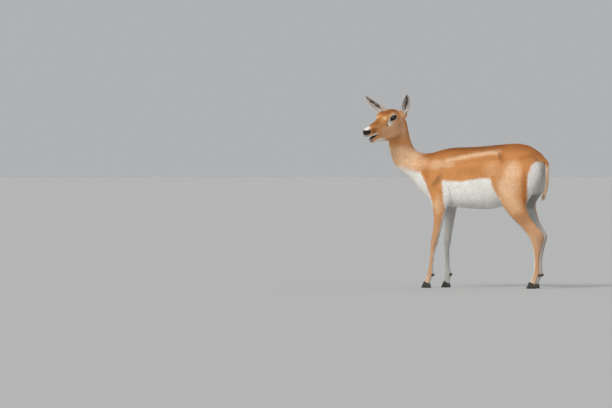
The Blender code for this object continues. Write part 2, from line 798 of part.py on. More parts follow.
def lock_solid(root, tip):
    """A flat lock of hair that swells below its root and tapers to its tip."""
    across = Vector((0, 1, 0))
    outward = (tip - root).cross(across).normalized()
    rings = []
    for share, width_share in lock_profile:
        centre = root.lerp(tip, share)
        ring = []
        for i in range(lock_sides):
            angle = 2 * math.pi * i / lock_sides
            sideways = across * math.cos(angle) * lock_width
            ring.append(centre + (sideways + outward * math.sin(angle) * lock_thickness) * width_share)
        rings.append(ring)
    return ring_loft("lock", rings)


def tail_solid():
    """The tail's core with flat locks of hair along its lower half, cut flat at the dock."""
    rings = []
    for x, z, half_depth, half_width in spline_rows(tail_rows, 3):
        centre, depth = Vector((x, 0, z)), Vector((half_depth, 0, 0))
        across = Vector((0, half_width, 0))
        rings.append(oval(centre + depth, centre - depth, across, 0, tail_power, tail_sides))
    pieces = [ring_loft("tail_core", rings)]
    chance = random.Random(7)
    for i in range(tail_locks):
        share = i / (tail_locks - 1)
        spread = (i % 3 - 1) * lock_spread
        root = lock_top.lerp(lock_bottom, share) + Vector((0, spread, 0))
        length = lock_length * chance.uniform(0.85, 1.1)
        lean = lock_leans[0] + (lock_leans[1] - lock_leans[0]) * share
        tip = root + Vector((-lean, spread * chance.uniform(-0.3, 0.6), -length))
        pieces.append(lock_solid(root, tip))
    tail = fuse("tail", pieces, tail_voxel, lambda point: 1.0, tail_rounds)
    thin_out(tail, tail_triangles)
    keep_side(tail, dock_root + dock_axis * cut_gap / 2, dock_axis)
    return largest_piece(tail)


def build_head(item, plane, material):
    point, normal = plane
    thin_out(item, head_triangles)
    keep_side(item, point + normal * cut_gap / 2, normal)
    for cutter in head_cutters():
        subtract(item, cutter)
    return finish_piece(largest_piece(item), "head", material)


def build_neck(item, head_plane, neck_plane, material):
    thin_out(item, neck_triangles)
    point, normal = head_plane
    keep_side(item, point - normal * cut_gap / 2, -normal)
    point, normal = neck_plane
    keep_side(item, point + normal * cut_gap / 2, normal)
    return finish_piece(item, "neck", material)


def build_torso(item, neck_plane, material):
    thin_out(item, torso_triangles)
    point, normal = neck_plane
    keep_side(item, point - normal * cut_gap / 2, -normal)
    keep_side(item, Vector((0, 0, elbow_cut + cut_gap / 2)), up)
    behind = dock_root + dock_axis * (dock_cut_depth - cut_gap) / 2
    subtract(item, disc("dock_cut", behind, dock_axis, dock_radius, dock_cut_depth))
    return finish_piece(largest_piece(item), "torso", material)


def build_lower_leg(item, kind, side, side_name, coat, horn):
    """From the knee or hock down to the hooves, with two dewclaws set in behind."""
    thin_out(item, limb_triangles[kind + "_lower"])
    keep_side(item, Vector((0, 0, knee_cut - cut_gap / 2)), -up)
    _, back, above = coronet(kind, side)
    keep_side(item, back, above)
    for number, place in enumerate(dewclaw_places(kind, side), 1):
        turn = (0, dewclaw_lean, 0)
        claw = ball("dewclaw", place, dewclaw_radii, turn, dewclaw_sides)
        room = dewclaw_radii + Vector((cut_gap, cut_gap, cut_gap))
        subtract(item, ball("dewclaw_socket", place, room, turn, dewclaw_sides))
        finish_piece(claw, "dewclaw_%s_%s_%d" % (kind, side_name, number), horn)
    finish_piece(largest_piece(item), kind + "_lower_" + side_name, coat)
    for number, share in ((1, -1), (2, 1)):
        claw = hoof_claw(kind, side, share)
        finish_piece(claw, "hoof_%s_%s_%d" % (kind, side_name, number), horn)


def build_legs(item, coat, horn):
    for leg in loose_pieces(item):
        centre = middle_of(leg)
        if centre.z > highest_leg_middle:  # a shaving of the belly, not a leg
            bpy.data.objects.remove(leg, do_unlink=True)
            continue
        kind = "fore" if centre.x < 0 else "hind"
        side, side_name = (-1, "left") if centre.y < 0 else (1, "right")
        upper, lower = split_at(leg, Vector((0, 0, knee_cut)), up, cut_margin)
        thin_out(upper, limb_triangles[kind + "_upper"])
        keep_side(upper, Vector((0, 0, elbow_cut - cut_gap / 2)), -up)
        keep_side(upper, Vector((0, 0, knee_cut + cut_gap / 2)), up)
        finish_piece(upper, kind + "_upper_" + side_name, coat)
        build_lower_leg(lower, kind, side, side_name, coat, horn)


def centre_on_floor():
    """Move every piece so that the model's box is centred over the origin."""
    corners = [vertex.co for item in bpy.data.objects for vertex in item.data.vertices]
    low = Vector([min(corner[i] for corner in corners) for i in range(3)])
    high = Vector([max(corner[i] for corner in corners) for i in range(3)])
    shift = Vector((-(low.x + high.x) / 2, -(low.y + high.y) / 2, -low.z))
    for item in bpy.data.objects:
        item.data.transform(Matrix.Translation(shift))


def main():
    clear_scene()
    tan = make_material("tan_coat", coat_tan, 0.85)
    fawn = make_material("fawn_coat", coat_fawn, 0.85)
    pale = make_material("pale_coat", coat_pale, 0.85)
    grey = make_material("ear_coat", ear_grey, 0.85)
    horn = make_material("hoof_horn", horn_black, 0.45)
    dark = make_material("eye", eye_dark, 0.08)

    head_plane = cut_plane(throat_row, head_cut_drop)
    neck_plane = cut_plane(shoulder_row, 0.0)
    head, rest = split_at(all_flesh(), *head_plane, cut_margin)
    neck, body = split_at(rest, *neck_plane, cut_margin)
    torso, limbs = split_at(body, Vector((0, 0, elbow_cut)), up, cut_margin)
    build_head(head, head_plane, tan)
    build_neck(neck, head_plane, neck_plane, tan)
    build_torso(torso, neck_plane, tan)
    build_legs(limbs, fawn, horn)

    finish_piece(tail_solid(), "tail", pale)
    for side, side_name in ((1, "left"), (-1, "right")):
        finish_piece(ear_solid(side, side_name), "ear_" + side_name, grey)
        eye = ball("eye", mirrored(eye_centre, side), (eye_radius,) * 3)
        eye.data.transform(head_matrix())
        finish_piece(eye, "eye_" + side_name, dark)
    centre_on_floor()


if __name__ == "__main__":
    main()
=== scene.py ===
import math
import bmesh
import bpy
import numpy as np
from mathutils import Matrix, Vector
from mathutils.bvhtree import BVHTree


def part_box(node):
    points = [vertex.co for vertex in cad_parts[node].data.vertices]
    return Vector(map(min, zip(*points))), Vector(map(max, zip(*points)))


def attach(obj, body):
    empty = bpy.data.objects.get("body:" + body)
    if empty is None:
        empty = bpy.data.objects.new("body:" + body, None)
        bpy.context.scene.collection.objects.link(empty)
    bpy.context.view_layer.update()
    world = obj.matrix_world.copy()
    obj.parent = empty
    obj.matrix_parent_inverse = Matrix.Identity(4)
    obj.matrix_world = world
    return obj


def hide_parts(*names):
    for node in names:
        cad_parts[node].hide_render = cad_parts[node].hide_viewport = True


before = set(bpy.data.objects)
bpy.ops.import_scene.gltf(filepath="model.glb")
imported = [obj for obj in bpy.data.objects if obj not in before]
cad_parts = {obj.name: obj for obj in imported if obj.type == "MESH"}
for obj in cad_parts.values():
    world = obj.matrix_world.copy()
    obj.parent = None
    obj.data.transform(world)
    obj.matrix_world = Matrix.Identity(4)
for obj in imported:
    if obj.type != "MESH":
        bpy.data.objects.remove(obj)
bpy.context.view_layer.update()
print("frame loaded:", len(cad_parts), "nodes")
rng = np.random.default_rng(11)

# Places below are in metres as she was measured, before the model was centred on its floor.
# The head has a frame of its own: x to the nose, y to her left, z up.
headPose = {
    "nape": (-0.394, -0.062, 0.800),
    "turn": 68.0,  # degrees, to her left
    "droop": 12.0,
    "tilt": 6.0,
    "eye": (0.0800, 0.0335, 0.0385),
    "eyeAxis": (0.42, 0.89, 0.12),
    "eyeAlong": (1.0, 0.0, -0.22),
    "opening": (0.0205, 0.0116),  # half length and half height of the dark rim between the lids
    "ovalPower": 1.8,  # 2 is an ellipse, less is more pointed
    "cornerDrop": 0.0030,
    "mouthCorner": (0.170, -0.0291),
    "mouthTop": (0.255, -0.0300),
    "mouthBottom": (0.255, -0.0530),
    "nostril": (0.2405, 0.0115, 0.0015),
    "nostrilAxis": (0.75, 0.62, 0.10),
    "nostrilAlong": (-0.35, 0.20, 0.90),
    "nostrilRadii": (0.0064, 0.0034),
    "nostrilDepth": 0.0050,
}
spin = Matrix.Rotation(math.pi + math.radians(headPose["turn"]), 4, "Z")
spin = spin @ Matrix.Rotation(math.radians(headPose["droop"]), 4, "Y")
spin = spin @ Matrix.Rotation(-math.radians(headPose["tilt"]), 4, "X")
eyeMiddle = Vector()
for eyeName in ("eye_left", "eye_right"):
    low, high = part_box(eyeName)
    eyeMiddle += (low + high) / 4  # half of each box's middle
headOrigin = eyeMiddle - spin @ Vector((headPose["eye"][0], 0, headPose["eye"][2]))
headRows = np.array(spin.to_3x3())
shift = np.array(headOrigin) - np.array(headPose["nape"])  # from a measured place to the frame


def toHead(points):
    return (points - np.array(headOrigin)) @ headRows


def fromHead(points):
    return np.asarray(points, float) @ headRows.T + np.array(headOrigin)


def ramp(low, high, value):  # 0 at low, 1 at high, smooth between
    t = np.clip((value - low) / (high - low), 0.0, 1.0)
    return t * t * (3 - 2 * t)


def unit(vectors):
    vectors = np.asarray(vectors, float)
    return vectors / np.maximum(np.linalg.norm(vectors, axis=-1, keepdims=True), 1e-12)


# Camera, at the photograph's angle
view = {
    "azimuth": 22.0,
    "metresPerPixel": 0.0048,
    "distance": 40.0,
    "bodyPixel": (480, 288),  # where the middle of the body meets the floor
    "horizon": 103,
    "frame": (612, 408),
    "sensor": 36.0,
    "clip": (1.0, 200.0),
}
turn = math.radians(view["azimuth"])
toRight = np.array((math.cos(turn), math.sin(turn), 0.0))
toCamera = np.array((math.sin(turn), -math.cos(turn), 0.0))
aside = (view["frame"][0] / 2 - view["bodyPixel"][0]) * view["metresPerPixel"]
aimHeight = (view["bodyPixel"][1] - view["frame"][1] / 2) * view["metresPerPixel"]
eyeHeight = (view["bodyPixel"][1] - view["horizon"]) * view["metresPerPixel"]
aim = Vector(toRight * aside + np.array((0, 0, aimHeight)) + shift)
place = Vector(toRight * aside + toCamera * view["distance"] + np.array((0, 0, eyeHeight)) + shift)
cameraData = bpy.data.cameras.new("camera")
cameraData.sensor_width = view["sensor"]
fieldWidth = view["frame"][0] * view["metresPerPixel"]
cameraData.lens = cameraData.sensor_width * view["distance"] / fieldWidth
cameraData.clip_start, cameraData.clip_end = view["clip"]
camera = bpy.data.objects.new("camera", cameraData)
bpy.context.scene.collection.objects.link(camera)
camera.location = place
camera.rotation_euler = (aim - place).to_track_quat("-Z", "Y").to_euler()
bpy.context.scene.camera = camera

# Soft studio light and a pale floor
studio = {
    "world": (0.80, 0.82, 0.84, 1.0),
    "worldStrength": 0.54,
    "floor": (0.52, 0.525, 0.52, 1.0),
    "floorRoughness": 0.9,
    "floorReach": 60.0,
    "floorSides": 64,
    # each lamp: towards the camera, to its right, up; strength, degrees across, tint
    "lamps": {
        "key": (0.60, -0.46, 0.58, 1.50, 24.0, (1.0, 0.97, 0.92)),
        "fill": (0.40, -0.90, 0.02, 0.76, 60.0, (1.0, 0.99, 0.97)),
        "back": (-0.60, 0.55, 0.55, 0.35, 50.0, (0.93, 0.97, 1.0)),
        "front": (0.75, 0.55, 0.25, 0.25, 50.0, (1.0, 0.98, 0.95)),
        "glint": (0.88, 0.34, 0.335, 1.6, 18.0, (1.0, 1.0, 1.0)),
    },
    "glossOnly": ("glint",),  # seen only in glossy surfaces, such as the eyes
}


def newMaterial(name):
    material = bpy.data.materials.new(name)
    material.use_nodes = True
    return material, material.node_tree.nodes, material.node_tree.links


def addNode(nodes, kind, **settings):
    node = nodes.new(kind)
    for key, value in settings.items():
        setattr(node, key, value)
    return node


def setSockets(node, values):
    for label, value in values.items():
        node.inputs[label].default_value = value


def linear(red, green, blue):  # from the 0-255 numbers of a colour picker
    mixed = []
    for value in (red / 255, green / 255, blue / 255):
        mixed.append(value / 12.92 if value <= 0.04045 else ((value + 0.055) / 1.055) ** 2.4)
    return (*mixed, 1.0)


def addObject(name, data):
    item = bpy.data.objects.new(name, data)
    bpy.context.scene.collection.objects.link(item)
    return item


def addMesh(name, points, faces, material=None):
    mesh = bpy.data.meshes.new(name)
    mesh.from_pydata([tuple(p) for p in points], [], faces)
    mesh.update()
    if material:
        mesh.materials.append(material)
    return addObject(name, mesh)


bpy.context.scene.view_settings.view_transform = "Standard"
world = bpy.data.worlds.new("studio")
bpy.context.scene.world = world
world.use_nodes = True
background = world.node_tree.nodes["Background"]
setSockets(background, {"Color": studio["world"], "Strength": studio["worldStrength"]})
for lampName, (near, right, up, strength, softness, tint) in studio["lamps"].items():
    lampData = bpy.data.lights.new(lampName, "SUN")
    lampData.energy, lampData.angle, lampData.color = strength, math.radians(softness), tint
    lamp = addObject(lampName, lampData)
    lampFrom = toCamera * near + toRight * right + np.array((0, 0, up))
    lamp.rotation_euler = Vector(lampFrom).to_track_quat("Z", "Y").to_euler()
    lamp.visible_diffuse = lampName not in studio["glossOnly"]
floorMaterial, floorNodes, _ = newMaterial("pale floor")
floorShader = floorNodes["Principled BSDF"]
setSockets(floorShader, {"Base Color": studio["floor"], "Roughness": studio["floorRoughness"]})
floorAngles = np.linspace(0, 2 * math.pi, studio["floorSides"] + 1)[:-1]
corners = [(math.cos(a) * studio["floorReach"], math.sin(a) * studio["floorReach"], 0) for a in floorAngles]
floor = addMesh("floor", corners, [tuple(range(studio["floorSides"]))], floorMaterial)
print("camera, light and floor set")

# Shader helpers, and the group that skin and hair share


def newGroup(name, inputs, outputs):
    group = bpy.data.node_groups.new(name, "ShaderNodeTree")
    for label, kind, value in inputs:
        socket = group.interface.new_socket(label, in_out="INPUT", socket_type=kind)
        socket.default_value = value
    for label, kind in outputs:
        group.interface.new_socket(label, in_out="OUTPUT", socket_type=kind)
    return group, group.nodes, group.links


def mathNode(nodes, links, operation, first, second=None, clamp=False):
    node = addNode(nodes, "ShaderNodeMath", operation=operation, use_clamp=clamp)
    for socket, value in zip(node.inputs, (first, second)):
        if value is None:
            continue
        if isinstance(value, (int, float)):
            socket.default_value = value
        else:
            links.new(value, socket)
    return node.outputs[0]


def mixColour(nodes, links, share, first, second):
    node = addNode(nodes, "ShaderNodeMix", data_type="RGBA")
    for index, value in ((0, share), (6, first), (7, second)):
        if isinstance(value, (int, float, tuple)):
            node.inputs[index].default_value = value
        else:
            links.new(value, node.inputs[index])
    return node.outputs[2]


def noiseNode(nodes, links, place, scale, detail=2.0, stretch=None):
    if stretch:  # a scale of its own on each axis
        mapping = addNode(nodes, "ShaderNodeMapping")
        mapping.inputs["Scale"].default_value = stretch
        links.new(place, mapping.inputs["Vector"])
        place = mapping.outputs[0]
    noise = addNode(nodes, "ShaderNodeTexNoise")
    setSockets(noise, {"Scale": scale, "Detail": detail})
    links.new(place, noise.inputs["Vector"])
    return noise.outputs[0]


def paintedLayer(nodes, links, name):  # the three channels of a colour attribute
    attribute = addNode(nodes, "ShaderNodeAttribute", attribute_name=name)
    split = addNode(nodes, "ShaderNodeSeparateColor")
    links.new(attribute.outputs["Color"], split.inputs[0])
    return split.outputs


def bumpInto(nodes, links, shader, height, strength, distance):
    bump = addNode(nodes, "ShaderNodeBump")
    setSockets(bump, {"Strength": strength, "Distance": distance})
    links.new(height, bump.inputs["Height"])
    links.new(bump.outputs[0], shader.inputs["Normal"])


coatTones = {  # the colours of the coat, light to dark; Grey, Dark and Black also serve as painted shade
    "Tan": linear(216, 149, 88),
    "Rich": linear(166, 94, 34),
    "Pale": linear(242, 203, 164),
    "White": linear(243, 240, 234),
    "Grey": linear(158, 154, 150),
    "Dark": linear(88, 58, 28),
    "Black": linear(20, 18, 19),
}
coatPattern = {
    "patchScale": 24.0,  # soft blotches, also at the edges of the marks
    "patchDetail": 5.0,
    "edgeWobble": 5.0,
    "hairScale": (150.0, 600.0, 260.0),  # fine streaks
    "hairDetail": 3.0,
    "chanceShade": 0.34,  # light and dark from tuft to tuft
    "tipShade": 0.22,  # light and dark from root to tip
    "roughness": 0.78,
    "bareRoughness": -0.42,  # added on bare black skin
    "pebbleScale": 1100.0,  # grain of bare skin
    "pebbleHeight": 0.45,
}
coatFinishes = {
    "short coat on skin": {"Mottling": 0.30, "Streaks": 0.25, "sheen": 0.10, "bumpDistance": 0.0012},
    "hair tufts": {"Mottling": 0.30, "Streaks": 0.25, "sheen": 0.16, "bumpDistance": 0.0003},
}


def buildCoatGroup():  # mixes the tones by the marks painted on skin and hair
    inputs = [(name, "NodeSocketColor", tone) for name, tone in coatTones.items()]
    inputs += [("Mottling", "NodeSocketFloat", 0.0), ("Streaks", "NodeSocketFloat", 0.0)]
    outputs = [("Color", "NodeSocketColor"), ("Roughness", "NodeSocketFloat"), ("Height", "NodeSocketFloat")]
    group, nodes, links = newGroup("coat tones", inputs, outputs)
    given = addNode(nodes, "NodeGroupInput").outputs
    result = addNode(nodes, "NodeGroupOutput").inputs
    white, rich, pale = paintedLayer(nodes, links, "marksA")
    dark, grey, black = paintedLayer(nodes, links, "marksB")
    chance, tip, _ = paintedLayer(nodes, links, "hair")

    def calc(operation, first, second, clamp=False):
        return mathNode(nodes, links, operation, first, second, clamp)

    place = addNode(nodes, "ShaderNodeNewGeometry").outputs["Position"]
    patchy = noiseNode(nodes, links, place, coatPattern["patchScale"], coatPattern["patchDetail"])
    streaky = noiseNode(nodes, links, place, 1.0, coatPattern["hairDetail"], coatPattern["hairScale"])
    loosen = calc("MULTIPLY", calc("SUBTRACT", patchy, 0.5), given["Mottling"])
    wobble = calc("MULTIPLY", loosen, coatPattern["edgeWobble"])

    def loose(mark):  # breaks up the edge of a mark a little
        spread = calc("MULTIPLY", mark, calc("SUBTRACT", 1.0, mark))
        return calc("ADD", mark, calc("MULTIPLY", spread, wobble), clamp=True)

    colour = given["Tan"]
    for mark, tone in ((rich, "Rich"), (pale, "Pale"), (dark, "Dark"), (white, "White"), (grey, "Grey")):
        colour = mixColour(nodes, links, loose(mark), colour, given[tone])
    brightness = calc("MULTIPLY", calc("SUBTRACT", chance, 0.5), coatPattern["chanceShade"])
    streak = calc("MULTIPLY", calc("SUBTRACT", streaky, 0.5), given["Streaks"])
    tipShade = calc("MULTIPLY", calc("SUBTRACT", tip, 0.5), coatPattern["tipShade"])
    value = calc("ADD", calc("ADD", brightness, streak), tipShade)
    shade = addNode(nodes, "ShaderNodeHueSaturation")
    links.new(calc("ADD", value, calc("ADD", loosen, 1.0)), shade.inputs["Value"])
    links.new(colour, shade.inputs["Color"])
    links.new(mixColour(nodes, links, black, shade.outputs[0], given["Black"]), result["Color"])
    dull = calc("MULTIPLY", black, coatPattern["bareRoughness"])
    links.new(calc("ADD", dull, coatPattern["roughness"]), result["Roughness"])
    pebbles = addNode(nodes, "ShaderNodeTexVoronoi")
    pebbles.inputs["Scale"].default_value = coatPattern["pebbleScale"]
    links.new(place, pebbles.inputs["Vector"])
    bare = calc("MULTIPLY", calc("MULTIPLY", pebbles.outputs["Distance"], black), coatPattern["pebbleHeight"])
    links.new(calc("ADD", streaky, bare), result["Height"])
    return group


coatGroup = buildCoatGroup()


def coatMaterial(name):
    finish = coatFinishes[name]
    material, nodes, links = newMaterial(name)
    shader = nodes["Principled BSDF"]
    tones = addNode(nodes, "ShaderNodeGroup", node_tree=coatGroup)
    setSockets(tones, {"Mottling": finish["Mottling"], "Streaks": finish["Streaks"]})
    links.new(tones.outputs["Color"], shader.inputs["Base Color"])
    links.new(tones.outputs["Roughness"], shader.inputs["Roughness"])
    bumpInto(nodes, links, shader, tones.outputs["Height"], 0.5, finish["bumpDistance"])
    setSockets(shader, {"Specular IOR Level": 0.25, "Sheen Weight": finish["sheen"], "Sheen Roughness": 0.45})
    return material


skinMaterial = coatMaterial("short coat on skin")
hairMaterial = coatMaterial("hair tufts")

# Her markings, with painted shade on the rump, in folds, under the jaw and between the legs, and a
# painted highlight along the back. Each is a share from 0 to 1 of one tone, found from the place and
# the way the surface faces, so skin and hair get the same.
edgeLines = {  # the edges of the marks: x and height for a top, height and x for a back or front
    "bellyTop": (
        (-0.20, 0.521), (-0.160, 0.519), (-0.065, 0.514), (0.029, 0.528), (0.090, 0.530), (0.12, 0.530),
    ),
    "flankBack": ((0.38, 0.128), (0.404, 0.120), (0.443, 0.114), (0.491, 0.096), (0.530, 0.088)),
    "elbowBack": ((0.36, -0.148), (0.394, -0.152), (0.423, -0.160), (0.509, -0.165), (0.53, -0.166)),
    "chestBack": (
        (0.38, -0.208), (0.41, -0.214), (0.44, -0.222), (0.487, -0.243), (0.52, -0.262), (0.556, -0.284),
    ),
    "chestTop": ((-0.46, 0.600), (-0.403, 0.588), (-0.345, 0.574), (-0.282, 0.556)),
    "rumpFront": (
        (0.38, 0.258), (0.434, 0.270), (0.472, 0.275), (0.544, 0.278), (0.590, 0.290), (0.612, 0.306),
    ),
    # the middle of the painted highlight band, which the skin's ridge also follows
    "highlightBand": (
        (-0.20, 0.600), (-0.153, 0.614), (-0.090, 0.628), (-0.027, 0.640), (0.060, 0.653), (0.130, 0.657),
    ),
}
slants = {  # x and height of a slanting fold or shade, and its lean
    "flankFold": (0.126, 0.640, -0.35),
    "shoulder": (-0.135, 0.58, 0.45),
    "elbowFold": (-0.1255, 0.44, -0.10),
    "rumpShade": (0.285, 0.50, 0.35),
}
markShapes = {
    "rumpTop": 0.612,
    "rumpTopDip": (0.10, 0.03),  # slope and half width of the dip under the tail
    "highlightMiddle": -0.004,
    # the painted highlight along the back: its middle and half width
    "highlightWidth": 0.0105,
    "elbowFoldWidth": 0.0035,
    # the painted shadow beside the tail root: its place and size
    "tailShadow": (0.021, 0.569),
    "tailShadowSize": (0.005, 0.020),
    "pad": (0.2400, -0.0030),
    "padSize": (0.0215, 0.0105),
    "padLean": 0.15,
    "nostrilReach": (0.0085, 0.006),
    "spotEdge": (1.35, 0.35),  # in shares of a spot's size, from no tone to the full tone
    "faceSpotEdge": (1.25, 0.65),
    "eyeRing": (0.95, 1.10, 1.45, 2.1),  # where the pale ring starts, is full, fades and ends
    "eyeRingTones": (("pale", 0.90), ("white", 0.12), ("grey", 0.22)),
    "lidRim": (1.08, 0.98),
    "overEye": (0.0, 0.008),  # height over the eye's middle, to tell the front of the eye from its back
    "legLevels": (0.03, 0.45, 0.006),  # lowest, highest and spacing of the heights measured
    "legEnds": {"fore": -0.06, "hind": 0.118},
    "legEdgeWidths": {"fore": (0.0035, 0.0030), "hind": (0.0095, 0.0060)},  # at the foot, and more above
    "tailReach": 0.008,
    "tailBlend": (0.0035, 0.003),
}
zones = {  # ramps that bound each region: a measure, where it is 0, where it is 1
    "head": (("headX", -0.04, 0.0), ("headY", 0.11, 0.085), ("headZ", -0.125, -0.095)),
    "spine": (("up", 0.25, 0.95), ("z", 0.55, 0.62)),
    "nape": (("z", 0.60, 0.68), ("x", -0.30, -0.36), ("nape", 0.2, 0.9)),
    "throat": (("x", -0.28, -0.36), ("z", 0.56, 0.62), ("throat", 0.7, 0.1)),
    "croup": (("x", 0.22, 0.30), ("z", 0.60, 0.66)),
    "highlightBand": (("x", -0.19, -0.14), ("x", 0.135, 0.112), ("sideways", 0.2, 0.6)),
    "aboveBand": (("overBand", 0.004, 0.014), ("x", -0.17, -0.10), ("x", 0.30, 0.20), ("z", 0.55, 0.6)),
    "saddle": (("x", -0.20, -0.12), ("x", 0.16, 0.10), ("up", 0.70, 0.92), ("z", 0.63, 0.66)),
    "belly": (
        ("overBelly", 0.005, -0.004),
        ("behindElbow", -0.004, 0.004),
        ("behindFlank", 0.004, -0.004),
        ("z", 0.34, 0.38),
    ),
    "chest": (("behindChest", 0.006, -0.006), ("z", 0.385, 0.41), ("z", 0.566, 0.552)),
    "brisket": (("overChest", 0.018, -0.018), ("x", -0.276, -0.286), ("z", 0.5, 0.52)),
    "under": (("up", -0.45, -0.75), ("z", 0.50, 0.45), ("z", 0.35, 0.38)),
    "rump": (("behindRump", -0.003, 0.004), ("z", 0.375, 0.40), ("overRump", 0.003, -0.004)),
    "rumpShade": (("rumpShade", 0.008, 0.045), ("z", 0.60, 0.52), ("z", 0.37, 0.40)),
    "tailShadow": (("x", 0.30, 0.31),),
    "foreLeg": (("x", -0.02, -0.06), ("z", 0.43, 0.40)),
    "hindLeg": (("x", 0.08, 0.12), ("z", 0.45, 0.42)),
    "foreInner": (("x", -0.02, -0.06), ("z", 0.43, 0.40), ("foreInside", 0.08, -0.08)),
    "hindInner": (("x", 0.08, 0.12), ("z", 0.45, 0.42), ("hindInside", 0.16, -0.08)),
    "groin": (("x", 0.06, 0.10), ("outward", -0.05, -0.30), ("z", 0.58, 0.52), ("z", 0.35, 0.40)),
    "innerShade": (("z", 0.50, 0.42),),
    "thighShade": (("z", 0.50, 0.44), ("z", 0.36, 0.40), ("outward", 0.05, -0.35), ("x", 0.19, 0.23)),
    "elbowFold": (("z", 0.385, 0.41), ("z", 0.50, 0.475)),
    "legs": (("z", 0.42, 0.30),),
    "lowerLegs": (("z", 0.36, 0.26),),
    "pastern": (("z", 0.085, 0.045),),
    "tailBeneath": (("rearward", -0.05, -0.45), ("z", 0.605, 0.585), ("z", 0.47, 0.51)),
    "tailEdge": (("toRight", 0.62, 0.88), ("z", 0.528, 0.548), ("z", 0.610, 0.600)),
    "tailRoot": (("z", 0.575, 0.605),),
    "tailBelowRoot": (("z", 0.600, 0.580),),
    "padFront": (("headX", 0.2165, 0.2195),),
    "groove": (
        ("headY", 0.0034, 0.0020),
        ("headX", 0.232, 0.236),
        ("headZ", -0.026, -0.023),
        ("headZ", -0.008, -0.010),
    ),
    "mouth": (
        ("overLip", 0.0026, 0.0010),
        ("underLip", -0.0026, -0.0010),
        ("headX", 0.160, 0.166),
        ("headY", 0.05, 0.04),
    ),
    # where the skin is formed and smoothed
    "face": (("headX", -0.02, 0.02), ("headZ", -0.11, -0.09), ("headY", 0.10, 0.08)),
    "wholeHead": (("headX", -0.06, -0.01), ("headY", 0.12, 0.09), ("headZ", -0.15, -0.11)),
    "muzzle": (("headX", 0.155, 0.165),),
    "smoothLegs": (("z", 0.44, 0.34),),
    "smoothTail": (("z", 0.608, 0.590),),
    "bandRidge": (("x", -0.16, -0.10), ("x", 0.150, 0.120)),
    "flankFold": (("z", 0.605, 0.620), ("z", 0.672, 0.655)),
    "shoulder": (("z", 0.47, 0.50), ("z", 0.655, 0.62)),
    "ribs": (("x", -0.10, -0.06), ("x", 0.09, 0.05), ("z", 0.44, 0.47), ("z", 0.60, 0.56)),
    # where the hair changes its density, length or way
    "hairyHead": (("headX", -0.05, 0.0), ("headY", 0.12, 0.09), ("headZ", -0.14, -0.10)),
    "tailHair": (("z", 0.612, 0.600),),
    "tailUnder": (("up", -0.08, -0.25), ("z", 0.48, 0.46)),
    "tailEnd": (("z", 0.442, 0.436),),
    "tailLoose": (("z", 0.470, 0.455),),
    "aboveHoof": (("z", 0.012, 0.020),),
    "neckFlow": (("x", -0.22, -0.34), ("z", 0.50, 0.58)),
    "legFlow": (("z", 0.47, 0.38),),
    "rumpFlow": (("x", 0.16, 0.30), ("z", 0.36, 0.42)),
    "longBelly": (("z", 0.50, 0.44),),
    "longRump": (("x", 0.27, 0.32), ("z", 0.40, 0.45)),
    "shank": (("z", 0.16, 0.05),),
}
bodyTones = [  # tone, share, zone
    ("rich", 0.85, "spine"),
    ("rich", 0.80, "nape"),
    ("pale", 0.68, "throat"),
    ("rich", 0.80, "croup"),
    ("rich", 0.70, "aboveBand"),
    ("white", 1.00, "belly"),
    ("white", 1.00, "chest"),
    ("white", 0.95, "brisket"),
    ("white", 1.00, "under"),
    ("white", 1.00, "rump"),
    ("white", 1.00, "groin"),
    ("white", 1.00, "foreInner"),
    ("white", 1.00, "hindInner"),
    # painted shade over the white inner thigh between the hind legs
    ("grey", 1.00, "thighShade"),
    ("pale", 0.28, "legs"),
    ("grey", 0.20, "lowerLegs"),
    ("white", 0.25, "pastern"),
    ("pale", 0.45, "pastern"),
]
bodySpots = [  # tone, x, z, half length, half height, share, slant
    ("pale", -0.200, 0.592, 0.045, 0.026, 0.65, 0.0),
    ("pale", -0.145, 0.597, 0.045, 0.022, 0.55, 0.0),
    ("pale", -0.300, 0.600, 0.060, 0.034, 0.60, 0.0),
    ("pale", -0.350, 0.622, 0.070, 0.070, 0.85, 0.0),
    ("pale", -0.385, 0.690, 0.050, 0.080, 0.60, 0.0),
    ("pale", 0.196, 0.560, 0.050, 0.052, 0.85, 0.0),
    ("pale", 0.175, 0.490, 0.062, 0.075, 0.85, 0.1),
    ("pale", 0.200, 0.410, 0.050, 0.055, 0.65, -0.3),
    ("pale", 0.090, 0.575, 0.050, 0.040, 0.25, 0.0),
    ("pale", -0.184, 0.400, 0.028, 0.050, 0.60, 0.0),
    # painted shade at the elbow
    ("dark", -0.192, 0.516, 0.018, 0.034, 0.42, 0.6),
    ("rich", -0.255, 0.556, 0.020, 0.040, 0.40, -0.4),
    ("rich", 0.262, 0.470, 0.020, 0.110, 0.60, 0.0),
    ("rich", 0.010, 0.566, 0.110, 0.026, 0.22, 0.1),
    # painted shade along the flank fold
    ("dark", 0.122, 0.638, 0.0060, 0.026, 0.50, -0.35),
    ("rich", 0.135, 0.630, 0.0200, 0.034, 0.55, -0.25),
    # painted shade: a small dark smudge where the flank fold starts on the belly
    ("dark", 0.084, 0.490, 0.007, 0.006, 0.55, 0.0),
    ("dark", 0.248, 0.335, 0.040, 0.034, 0.30, -0.5),
    ("dark", 0.332, 0.240, 0.020, 0.026, 0.26, 0.0),
    ("pale", -0.215, 0.190, 0.030, 0.060, 0.30, 0.0),
]
